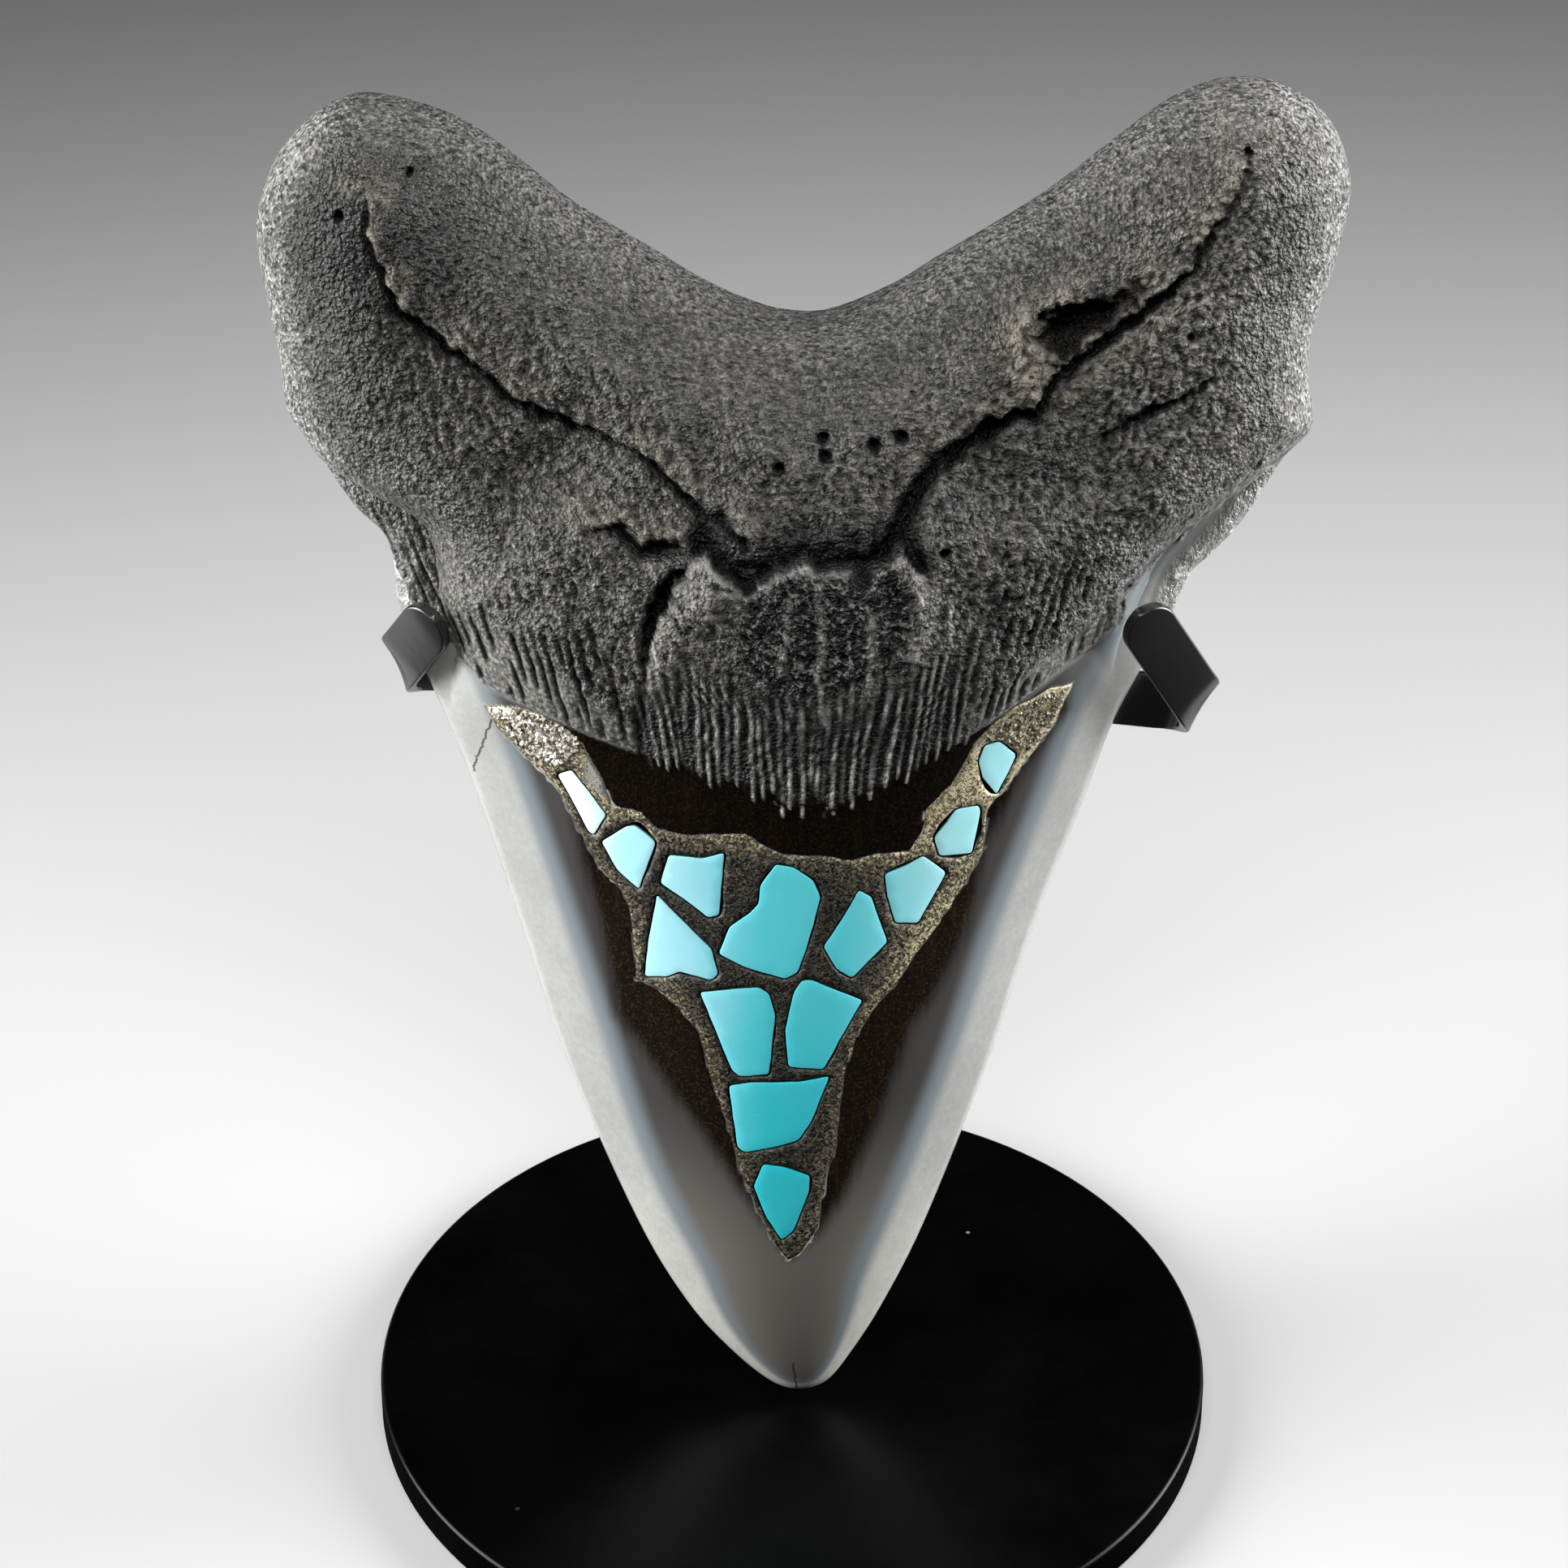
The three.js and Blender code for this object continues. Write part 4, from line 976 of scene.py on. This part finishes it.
def root_colour(place, across, clouds, speckle, pebbles, pinholes):
    """Grey grainy bone, with painted shade in its cracks, hollows, pits and grain, dark between its ridges,
    pale where crumbled, and pale at the rubbed rim partly as painted highlight.
    """
    grit = place.mark("grit")
    tarry = place.mark("tarry")
    root = clouds.between(0.3, 0.7).blend(srgb(78, 77, 74), srgb(97, 95, 91))
    # Painted light: the root is painted lighter towards its right side, as though lit more from the right
    root = across.between(18, 42).blend(root, root * 1.65)
    root = painted(root, PATCH_AND_RIM_BONE)
    # Painted shade: the pinholes are painted dark
    root = (pinholes * 0.75).blend(root, srgb(28, 27, 25))
    root = painted(root, SLEEK_COMB_AND_TARRY_BONE)
    # Painted shade and painted highlight: darker in the pits of the grit and speckle and between the pebbles,
    # lighter on the grains, following the relief
    root = grit.between(-0.75, 0.7).blend(root * 0.24, root * 1.2)
    root = speckle.between(0.34, 0.66).blend(root * 0.42, root * 1.42)
    root = pebbles.between(0.3, 0.75).blend(root * 1.15, root * 0.5)
    root = (tarry * speckle.between(0.54, 0.64) * 0.8).blend(root, srgb(146, 144, 139))
    pale_lump = place.mark("lump") * (speckle - 0.05) * grit.between(-0.6, 0.4)
    root = pale_lump.blend(root, srgb(152, 150, 144))
    root = painted(root, RAISED_BONE)
    root = (place.mark("crumbs") * (0.15 + speckle * 0.9)).blend(root, srgb(146, 140, 126))
    # Painted shade in the trench above the flap
    root = (place.mark("gloom") * 0.6).blend(root, srgb(26, 24, 21))
    # Painted shade: the deeper a crack, the hollow, the trench or a pit is sunk, the nearer black it is
    # painted
    root = place.mark("sunk").between(0.35, 1.7).blend(root, srgb(12, 10, 8))
    return (place.mark("cave") * speckle.between(0.4, 0.65)).blend(root, srgb(46, 42, 36))


def crown_colour(place, across, height, clouds, speckle, fine, chipped):
    """Brown-black polished dentine, and enamel that pales towards the crown's edges, partly in its own colour
    and partly as painted reflection of the side lamps.
    """
    mottle = (clouds * 0.6 + speckle * 0.4).between(0.3, 0.7)
    enamel = height.between(10, 34).blend(srgb(184, 184, 178), srgb(158, 159, 156))
    enamel = mottle.blend(enamel * 0.88, enamel * 1.12)
    wider_left = (1 - across.between(-8, 8)) * height.between(30, 45) * 0.18
    edge = place.mark("edge") - wider_left
    # Partly painted reflection: the pale edge band and the bluish grey inside it stand for the side lamps
    # mirrored in the bevels as well as the enamel's paler edge
    enamel = (edge + (clouds - 0.5) * 0.15).between(0.64, 1.0).blend(enamel, srgb(114, 122, 127))
    beneath = height.between(20, 40).blend(srgb(106, 103, 98), srgb(62, 61, 60))
    enamel = edge.between(0.95, 1.4).blend(enamel, beneath)
    streak = (place * (1.0, 0.12, 0.12)).noise(0.8, detail=5, roughness=0.6)
    dentine = streak.between(0.5, 0.8).blend(srgb(18, 15, 11), srgb(38, 28, 17))
    dentine = (fine.between(0.48, 0.72) * 0.55).blend(dentine, srgb(62, 46, 28))
    dentine = height.between(56, 66).blend(dentine, dentine * 0.5)
    in_dark = (place.mark("dark") + (streak - 0.5) * 1.6).between(-0.6, 1.6)
    crown = in_dark.blend(enamel, dentine)
    chips = chipped.between(0.48, 0.64).blend(srgb(134, 134, 131), srgb(208, 207, 203))
    crown = place.mark("shoulder").blend(crown, chips)
    for upper, lower, paint in HAIRLINES:
        crown = hairline(across, height, upper, lower).blend(crown, paint)
    return crown


def fossil_finish():
    """Rough bone on the root and polished stone on the crown."""
    material, shader, place = new_finish("fossil_tooth")
    on_root = place.mark("on_root")
    sleek = place.mark("sleek")
    across = place.axis(0) - TIP_PLACE[0]
    height = place.axis(2)
    clouds = place.noise(9, detail=4, roughness=0.6)
    speckle = place.noise(0.62, detail=3, roughness=0.6)
    fine = place.noise(0.25, detail=2)
    pebbles = place.cell_gap(2.3)
    pinholes = (place * (0.5, 1.0, 1.0)).noise(0.6, detail=3).between(0.55, 0.66)
    chipped = place.noise(1.8, detail=4, roughness=0.65)
    scuffs = place.noise(5, detail=6, roughness=0.7)
    root = root_colour(place, across, clouds, speckle, pebbles, pinholes)
    crown = crown_colour(place, across, height, clouds, speckle, fine, chipped)
    shine = 0.12 + scuffs * 0.12
    dull = 0.33 + speckle * 0.16 - sleek * 0.1
    grain = speckle * 0.7 - pebbles * 0.28 + fine * 0.1 - pinholes * 0.14
    relief = grain * on_root * (1 - sleek * 0.85) + chipped * place.mark("shoulder") * 1.2
    set_finish(
        shader, place,
        base_color=on_root.blend(crown, root),
        roughness=shine * (1 - on_root) + dull * on_root,
        normal=place.bump(relief + scuffs * 0.004),
    )
    return material


# The pocket carved for the inlay
POCKET_OUTLINE = np.array([
    (-30.6, 72.8), (-27.1, 73.3), (-24.3, 72.9), (-20.9, 70.3), (-18.8, 66.3), (-18.1, 64), (-15.3, 63.5),
    (-14, 62.2), (-12, 61.6), (-8.6, 61.8), (-5.2, 61.9), (-3.4, 60.7), (-1.7, 59.8), (2, 59.7), (5.2, 59.1),
    (7.3, 59.5), (10.5, 59.7), (11.9, 61.5), (12, 63.7), (13, 64.7), (14.7, 66.4), (15.7, 68.3), (16.7, 70.4),
    (18.1, 71.9), (20.6, 73.9), (24.1, 75.3), (26.5, 75.3), (26, 74.3), (24.8, 71.2), (22.8, 68.7),
    (20.8, 66.2), (19.8, 64.8), (18.6, 63.9), (18.1, 62.6), (18, 59.3), (17.1, 57.1), (15.9, 55.2),
    (14.2, 52.6), (12.8, 50.4), (11.6, 49), (10.3, 46.9), (8.5, 44.6), (6.7, 42.6), (5.5, 40.2),
    (4.6, 37.4), (3.9, 32.6), (3.6, 28.8), (2.6, 25), (1.7, 19.5), (0.1, 16.7), (-1.1, 16.1), (-2, 17),
    (-2.9, 18.8), (-4.5, 22.5), (-5.9, 26.3), (-7.2, 31.4), (-8.4, 35.1), (-9, 37.4), (-9.8, 40.7),
    (-11.2, 42.4), (-12.6, 44), (-14.4, 45.4), (-16, 45.8), (-16.2, 49.3), (-16.4, 52.8), (-17.2, 55.1),
    (-19.5, 57.3), (-20.9, 60), (-22.4, 62.8), (-23.8, 65.5), (-26, 67.3), (-29, 70.3),
])
POCKET_DEPTH = 2.6
POCKET_STEP = 0.5
POCKET_WANDER = 0.22
POCKET_MESH_STEP = 1.2
CUTTER_RISE = 8


def face_height(places):
    """Height of the smooth display face at places on it."""
    places = np.asarray(places, float)
    inside, _ = nearest_on_path(places, RIM)
    return front_height(*places.T, inside)


def on_face(places, above):
    """Places on the display face, moved out of it, on the face's own axes."""
    return np.column_stack([places, face_height(places) + above])


def stepped_outline(outline, step, wander=0.0, shift=0.0):
    """A closed outline with points at even steps that wander a little from its straight sides."""
    closed = np.vstack([outline, outline[:1]])
    length = np.linalg.norm(np.diff(closed, axis=0), axis=1).sum()
    points = points_along(closed, np.linspace(0, 1, round(length / step), endpoint=False))
    ground = np.column_stack([points, np.zeros(len(points))])
    drift = np.column_stack([lumps(ground, 1.4, shift), lumps(ground, 1.4, shift + 70)])
    return points + wander * drift


def fill_outline(rings, spacing):
    """Points and triangles inside the first ring and outside the others. The rings' own points come first."""
    edges = []
    for ring in rings:
        first = len(edges)
        edges += [(first + k, first + (k + 1) % len(ring)) for k in range(len(ring))]
    low, high = rings[0].min(axis=0), rings[0].max(axis=0)
    spread = np.stack(np.meshgrid(
        np.arange(low[0], high[0], spacing), np.arange(low[1], high[1], spacing * 0.87)), axis=-1)
    spread[1::2, :, 0] += spacing / 2
    spread = spread.reshape(-1, 2)
    room = depth_inside(spread, rings[0])
    for hole in rings[1:]:
        room = np.minimum(room, -depth_inside(spread, hole))
    points = np.concatenate([*rings, spread[room > 0.45 * spacing]])
    flat = [Vector(point) for point in points]
    triangles = geometry.delaunay_2d_cdt(flat, edges, [], 0, 1e-7, False)[2]
    middles = np.array([points[face].mean(axis=0) for face in triangles])
    kept = inside_outline(middles, rings[0])
    for hole in rings[1:]:
        kept &= ~inside_outline(middles, hole)
    return points, [tuple(face) for face, keep in zip(triangles, kept) if keep]


def ring_walls(upper, lower, count):
    """Quads down from one ring of points to the ring under it, each given by its first point's number."""
    return [(upper + (k + 1) % count, upper + k, lower + k, lower + (k + 1) % count) for k in range(count)]


def plate_mesh(rings, spacing):
    """A closed plate on the face. Its rings are outlines with a height, from the top's edge downwards."""
    top, top_faces = fill_outline([rings[0][0]], spacing)
    bottom, bottom_faces = fill_outline([rings[-1][0]], spacing)
    count = len(rings[0][0])
    points = [on_face(top, rings[0][1])]
    points += [on_face(outline, above) for outline, above in rings[1:-1]]
    points.append(on_face(bottom, rings[-1][1]))
    firsts = np.cumsum([0, *[len(part) for part in points[:-1]]])
    faces = list(top_faces)
    faces += [tuple(firsts[-1] + k for k in reversed(face)) for face in bottom_faces]
    for upper, lower in zip(firsts[:-1], firsts[1:]):
        faces += ring_walls(upper, lower, count)
    return np.concatenate(points), faces


def carve(piece, points, faces):
    """Cuts a closed mesh, given in millimetres, out of a piece."""
    cutter = add_object("cutter", new_mesh("cutter", points, faces))
    cut = piece.modifiers.new("pocket", "BOOLEAN")
    cut.operation = "DIFFERENCE"
    cut.solver = "MANIFOLD"
    cut.object = cutter
    carved = bpy.data.meshes.new_from_object(piece.evaluated_get(bpy.context.evaluated_depsgraph_get()))
    piece.modifiers.clear()
    piece.data = carved
    bpy.data.objects.remove(cutter)


def set_marks(piece, marks):
    """Gives each point of a piece its values for the material."""
    for name, values in marks.items():
        attribute = piece.data.attributes.new(name, "FLOAT", "POINT")
        attribute.data.foreach_set("value", np.asarray(values, np.float32))


tooth_points, tooth_faces, tooth_marks = tooth_mesh()
tooth = add_piece(
    "fossil_tooth", on_stand(*tooth_points.T), tooth_faces, fossil_finish(), "tooth")
band_width = ENAMEL_BAND["tip"] + ENAMEL_BAND["gain"] * smoothstep(*ENAMEL_BAND["rise"], tooth_points[:, 1])
tooth_marks["edge"] = tooth_marks.pop("inside") / band_width
tooth_marks["dark"] = np.where(
    tooth_marks.pop("behind"), -OUT_OF_DARK, depth_inside(tooth_points[:, :2], DARK_ZONE))
set_marks(tooth, tooth_marks)
pocket = stepped_outline(POCKET_OUTLINE[::-1], POCKET_STEP, POCKET_WANDER)
pocket_points, pocket_faces = plate_mesh([(pocket, CUTTER_RISE), (pocket, -POCKET_DEPTH)], POCKET_MESH_STEP)
carve(tooth, on_stand(*pocket_points.T), pocket_faces)


# The bed is crushed pyrite in dark resin, cast into the pocket around the chips and polished flush with the
# crown. At its upper corners the pyrite is coarse and stands a little proud.
BED_DEPTH = 2.3
BED_PROUD = 0.01
SEAT_DEPTH = 1.3
SEAT_GAP = 0.16
BED_CLEARANCE = 0.03
BED_MESH_STEP = 0.55
BED_UNDERSIDE_STEP = 1.5
SEAT_MESH_STEP = 1.0
CHIP_STEP = 0.2
CHIP_WANDER = 0.06
CHIP_RUBBING = 2

# The chips' outlines on the face, which the bed's seats follow
CHIP_OUTLINES = [
    [(-23.4, 66.4), (-22, 67.2), (-18.7, 62.9), (-20, 60.6), (-20.5, 60.9), (-21.8, 63.6)],
    [(-19.2, 60), (-16.8, 61.9), (-15.8, 62.1), (-13.9, 60.6), (-15.6, 55.5), (-17.7, 57.3)],
    [(-12.6, 59.4), (-9.5, 59.2), (-7.3, 59.9), (-7.8, 53.4), (-8.9, 53.1), (-10.9, 54.7), (-13.5, 56.4)],
    [(-13.8, 55.1), (-8.6, 49.8), (-7.9, 47.2), (-8.6, 46.5), (-11.7, 47.2), (-13, 46.5), (-15.1, 46.3),
     (-14.8, 49.5)],
    [(-2.3, 58.8), (-0.5, 58.4), (1.3, 57), (2, 55.4), (0.8, 50.6), (-0.2, 47.5), (-1.4, 46.8), (-5.3, 48),
     (-7.8, 49.3), (-6.8, 52.2), (-4.8, 53.7), (-4, 54.6), (-3.8, 56.6)],
    [(5.7, 55.9), (6.9, 55.1), (8.5, 50.2), (5.1, 46.7), (3.6, 47.7), (2.3, 50.1), (4.2, 53.1)],
    [(11.9, 59), (14.2, 56.9), (11.5, 51.9), (9.3, 52.2), (8.5, 55), (8.2, 57.4), (10.3, 58.1)],
    [(17.3, 63.6), (17.5, 62.9), (16.7, 58.6), (13.5, 58.8), (13, 60.7), (15.1, 63.5)],
    [(19.2, 70.2), (20.9, 68.4), (20.3, 66.9), (19, 64.5), (17.6, 66.6), (17.2, 68.3), (17.8, 70)],
    [(-9.7, 45.1), (-4, 45.9), (-3, 45.2), (-2.4, 43), (-3, 36.6), (-5.9, 36.3), (-6.6, 36.9)],
    [(0.2, 46.6), (1.2, 46.6), (6.1, 44.2), (4.6, 41.5), (2.3, 37), (-1.1, 37.4), (-1.4, 41.3), (-0.6, 45.2)],
    [(-6.9, 35.2), (-4.7, 35.7), (-0.1, 35.7), (2.9, 36.2), (1.2, 31.5), (-0.1, 29.4), (-2, 28.8), (-5.4, 28),
     (-6.1, 28.5)],
    [(-3.6, 26.7), (-1.7, 26.5), (1, 25.4), (0.9, 23.5), (-0.6, 19.4), (-1.7, 18.3), (-3.2, 20.7),
     (-4.5, 24.2)],
]


# Where the pyrite is coarse: outline on the face, crystals tried, and their size and paleness
COARSE_PYRITE = [
    {"outline": [(-30.3, 72.6), (-27.1, 73.1), (-24, 72.6), (-21.1, 70.9), (-21.2, 69.5), (-23.2, 67.3),
                 (-26.4, 67.8)],
     "tries": 1500, "size": (0.15, 0.55), "tone": (0.15, 1)},
    {"outline": [(16.9, 70.4), (18.3, 71.9), (20.6, 73.6), (24.1, 75), (26, 75), (24.6, 71.4), (22.6, 68.8),
                 (21, 68.2)],
     "tries": 700, "size": (0.18, 0.42), "tone": (0.1, 0.6)},
]
CRYSTAL_SEED = 13

# Where the resin between the chips is wide, and where it is clear enough to look smoky
RESIN_WEDGES = [(13.7, 62.2), (17.4, 60.9), (15.1, 57.8), (9.7, 58.8), (17.8, 65.2), (-15.3, 61.9)]
SMOKY_RESIN = np.array([(-20.9, 69.1), (-18.9, 68.9), (-18.3, 64.2), (-20.6, 66.3)])


def chip_outline(number):
    """A chip's outline with its corners rubbed round, running anticlockwise."""
    cut = np.array(CHIP_OUTLINES[number], float)[::-1]
    outline = stepped_outline(cut, CHIP_STEP, CHIP_WANDER, number)
    for _ in range(CHIP_RUBBING):
        outline = (np.roll(outline, 1, axis=0) + 2 * outline + np.roll(outline, -1, axis=0)) / 4
    return outline


def moved_outline(outline, distance):
    """An anticlockwise outline moved outwards, by one distance or one for each point."""
    along = np.roll(outline, -1, axis=0) - np.roll(outline, 1, axis=0)
    outward = np.column_stack([along[:, 1], -along[:, 0]])
    outward /= np.linalg.norm(outward, axis=1, keepdims=True)
    return outline + outward * np.reshape(distance, (-1, 1))


def bed_mesh():
    """The bed with a seat for every chip: points, faces, which points are in seats, and the outline."""
    outer = moved_outline(pocket, -BED_CLEARANCE)
    seats = []
    outlines = [chip_outline(number) for number in range(len(CHIP_OUTLINES))]
    for number, outline in enumerate(outlines):
        ground = np.column_stack([outline, np.zeros(len(outline))])
        gap = SEAT_GAP + 0.2 * np.maximum(lumps(ground, 2.2, 10 + number), 0)
        for wedge in RESIN_WEDGES:
            gap += 0.4 * np.exp(-(np.hypot(*(outline - wedge).T) / 1.1) ** 2)
        room = 0.6 * depth_inside(outline, outer)
        for other in outlines[:number] + outlines[number + 1:]:
            room = np.minimum(room, -0.4 * depth_inside(outline, other))
        seats.append(moved_outline(outline, np.minimum(gap, room)))
    top, top_faces = fill_outline([outer, *seats], BED_MESH_STEP)
    bottom, bottom_faces = fill_outline([outer], BED_UNDERSIDE_STEP)
    points = [on_face(top, BED_PROUD), on_face(bottom, -BED_DEPTH)]
    faces = list(top_faces)
    faces += [tuple(len(top) + k for k in reversed(face)) for face in bottom_faces]
    faces += ring_walls(0, len(top), len(outer))
    in_seat = [np.zeros(len(top)), np.zeros(len(bottom))]
    upper = len(outer)
    for seat in seats:
        floor_points, floor_faces = fill_outline([seat], SEAT_MESH_STEP)
        lower = sum(len(part) for part in points)
        points.append(on_face(floor_points, -SEAT_DEPTH))
        in_seat.append(np.ones(len(floor_points)))
        faces += [tuple(lower + k for k in face) for face in floor_faces]
        faces += [face[::-1] for face in ring_walls(upper, lower, len(seat))]
        upper += len(seat)
    return np.concatenate(points), faces, np.concatenate(in_seat), outer


def crystal_mesh():
    """Loose pyrite cubes at the bed's upper corners: points, faces, and a tone for each point."""
    dice = np.random.default_rng(CRYSTAL_SEED)
    corners = np.array([(x, y, z) for x in (-0.5, 0.5) for y in (-0.5, 0.5) for z in (-0.5, 0.5)])
    sides = [(0, 1, 3, 2), (4, 6, 7, 5), (0, 4, 5, 1), (2, 3, 7, 6), (0, 2, 6, 4), (1, 5, 7, 3)]
    points, faces, tones = [], [], []
    for patch in COARSE_PYRITE:
        outline = np.array(patch["outline"])
        places = dice.uniform(outline.min(axis=0), outline.max(axis=0), (patch["tries"], 2))
        places = places[depth_inside(places, outline) > 0.15]
        for chip in CHIP_OUTLINES:
            places = places[depth_inside(places, np.array(chip)) < -0.4]
        for place in on_face(places, BED_PROUD):
            size = dice.uniform(*patch["size"])
            turn = np.linalg.qr(dice.normal(size=(3, 3)))[0]
            cube = corners * size * dice.uniform(0.6, 1, 3) @ turn
            first = 8 * len(points)
            points.append(cube + place + (0, 0, size * dice.uniform(-0.25, 0.35)))
            outward = 1 if np.linalg.det(turn) > 0 else -1
            faces += [tuple(first + k for k in side[::outward]) for side in sides]
            tones += [dice.uniform(*patch["tone"])] * 8
    return np.concatenate(points), faces, np.array(tones)


GRAIN_STOPS = [
    (0.05, srgb(15, 13, 9)), (0.35, srgb(55, 50, 38)), (0.65, srgb(114, 105, 80)), (0.9, srgb(212, 200, 162)),
]
CRYSTAL_STOPS = [
    (0.1, srgb(50, 45, 35)), (0.35, srgb(124, 117, 98)), (0.6, srgb(182, 177, 162)),
    (0.9, srgb(236, 235, 230)),
]


def pyrite_finish():
    """Pyrite grains of many tones in nearly black resin, ground flat."""
    material, shader, place = new_finish("pyrite_bed")
    jumble = place.node("ShaderNodeTexNoise", None, {"Vector": place, "Scale": 3.0, "Detail": 2.0}, output=1)
    tone = (place + (jumble - 0.5) * 0.35).cell_tone(4.6)
    gaps = place.noise(0.3, detail=3, roughness=0.6).between(0.34, 0.48)
    clouds = place.noise(5, detail=3)
    height = place.axis(2)
    by_rim = 1 - place.mark("rim").between(0.2, 3)
    light = tone * 0.7 + by_rim * 0.25 + (clouds - 0.5) * 0.5 - 0.22
    light = light + height.between(63, 73) * 0.3 + place.axis(0).between(4, 12) * 0.24
    grains = light.node("ShaderNodeValToRGB", {"stops": GRAIN_STOPS}, {0: light})
    colour = gaps.blend(srgb(16, 14, 11), grains)
    smoke = place.mark("smoke") * clouds.between(0.2, 0.5)
    colour = (smoke * 0.85).blend(colour, (gaps * 0.5).blend(srgb(112, 110, 105), srgb(176, 175, 170)))
    crystal = place.mark("crystal")
    crystal_tone = crystal * (0.6 + height.between(69, 73) * 0.4)
    crystal_colour = crystal.node("ShaderNodeValToRGB", {"stops": CRYSTAL_STOPS}, {0: crystal_tone})
    colour = crystal.between(0.02, 0.09).blend(colour, crystal_colour)
    colour = place.mark("in_seat").between(0.02, 0.3).blend(colour, srgb(8, 8, 8))
    set_finish(
        shader, place,
        base_color=colour,
        roughness=0.32 + tone * 0.2 - smoke * 0.15,
        metallic=light.between(0.6, 0.9) * 0.5,
        normal=place.bump(tone * 0.03 + gaps * 0.05),
    )
    return material


bed_points, bed_faces, bed_seats, bed_outer = bed_mesh()
bed_rim = np.maximum(depth_inside(bed_points[:, :2], bed_outer), 0)
bed_smoke = smoothstep(-0.3, 0.4, depth_inside(bed_points[:, :2], SMOKY_RESIN))
crystal_points, crystal_faces, crystal_tones = crystal_mesh()
crystal_count = len(crystal_points)
bed = add_piece(
    "pyrite_bed", on_stand(*np.concatenate([bed_points, crystal_points]).T),
    bed_faces + [tuple(len(bed_points) + k for k in face) for face in crystal_faces],
    pyrite_finish(), "inlay_bed")
bed.data.polygons.foreach_set("use_smooth", [True] * len(bed_faces) + [False] * len(crystal_faces))
set_marks(bed, {
    "in_seat": np.pad(bed_seats, (0, crystal_count)), "rim": np.pad(bed_rim, (0, crystal_count)),
    "smoke": np.pad(bed_smoke, (0, crystal_count)), "crystal": np.pad(crystal_tones, (len(bed_points), 0)),
})


# Thirteen chips of turquoise, each cut to its own shape, set in the bed and polished flush with the crown.
# Their stone is an even blue, a little cloudy, with a high polish.
CHIP_THICKNESS = 1.2
CHIP_MESH_STEP = 0.9
CHIP_EDGES = ((-0.06, 0.03), (-0.02, 0.015), (0, -0.04))


def turquoise_finish():
    """Polished turquoise, painted paler towards both sides as painted reflection of the side lamps."""
    material, shader, place = new_finish("turquoise")
    clouds = place.noise(6, detail=4, roughness=0.6)
    flecks = place.noise(0.5, detail=2)
    aside = place.axis(0) + (clouds - 0.5) * 4
    colour = place.axis(2).between(34, 60).blend(srgb(44, 198, 212), srgb(92, 212, 222))
    # Painted reflection: the chips are painted paler and whiter towards the left and the right, where the
    # side lamps show in their polish
    colour = (1 - aside.between(-13, -2)).blend(colour, srgb(162, 217, 228))
    colour = (1 - aside.between(-21, -16)).blend(colour, srgb(214, 234, 239))
    colour = aside.between(4, 15).blend(colour, srgb(156, 216, 223))
    colour = (flecks.between(0.68, 0.8) * 0.2).blend(colour, srgb(200, 232, 234))
    set_finish(
        shader, place,
        base_color=colour,
        roughness=0.16 + clouds * 0.1,
        normal=place.bump(clouds * 0.03),
    )
    return material


TURQUOISE = turquoise_finish()
for number in range(len(CHIP_OUTLINES)):
    outline = chip_outline(number)
    edges = [(moved_outline(outline, distance), above) for distance, above in CHIP_EDGES]
    chip_points, chip_faces = plate_mesh([*edges, (outline, -CHIP_THICKNESS)], CHIP_MESH_STEP)
    chip_name = f"turquoise_{number + 1:02d}"
    add_piece(f"chip_{chip_name}", on_stand(*chip_points.T), chip_faces, TURQUOISE, chip_name)


# The studio: a plain pale floor, a large soft box on each side and a weak one above the camera.
# The floor in front doesn't show in the polished crown, as in the photograph.
FLOOR_SIZE = 1500
FLOOR_SPLIT = 10
LIGHT_TARGET = Vector((0, 0, 0.07))
LIGHT_SPREAD = math.radians(75)


def soft_box(name, place, size, power):
    """A broad lamp that points at the tooth, with its place and size in metres and its power in watts."""
    light = bpy.data.lights.new(name, "AREA")
    light.shape = "RECTANGLE"
    light.size, light.size_y = size
    light.energy = power
    light.spread = LIGHT_SPREAD
    box = add_object(name, light)
    box.location = place
    box.rotation_euler = (LIGHT_TARGET - Vector(place)).to_track_quat("-Z", "Y").to_euler()


soft_box("left_box", (-0.39, 0.0, 0.2), (0.28, 0.42), 1.2)
soft_box("right_box", (0.4, 0.09, 0.2), (0.28, 0.42), 1.22)
soft_box("top_box", (0, -0.3, 0.7), (0.5, 0.3), 0.5)

floor_finish, floor_shader, floor_place = new_finish("pale_floor")
set_finish(floor_shader, floor_place, base_color=srgb(192, 192, 192), roughness=0.7)
for name, near, far in (("floor_front", -FLOOR_SIZE, FLOOR_SPLIT), ("floor_back", FLOOR_SPLIT, FLOOR_SIZE)):
    corners = [(-FLOOR_SIZE, near, 0), (FLOOR_SIZE, near, 0), (FLOOR_SIZE, far, 0), (-FLOOR_SIZE, far, 0)]
    floor_mesh = new_mesh(name, corners, [(0, 1, 2, 3)])
    floor_mesh.materials.append(floor_finish)
    floor = add_object(name, floor_mesh)
    floor.visible_glossy = far > FLOOR_SPLIT

bpy.context.scene.view_settings.view_transform = "Standard"
world = bpy.data.worlds.new("studio")
world.use_nodes = True
world.node_tree.nodes["Background"].inputs["Color"].default_value = (0.02, 0.02, 0.02, 1)
bpy.context.scene.world = world
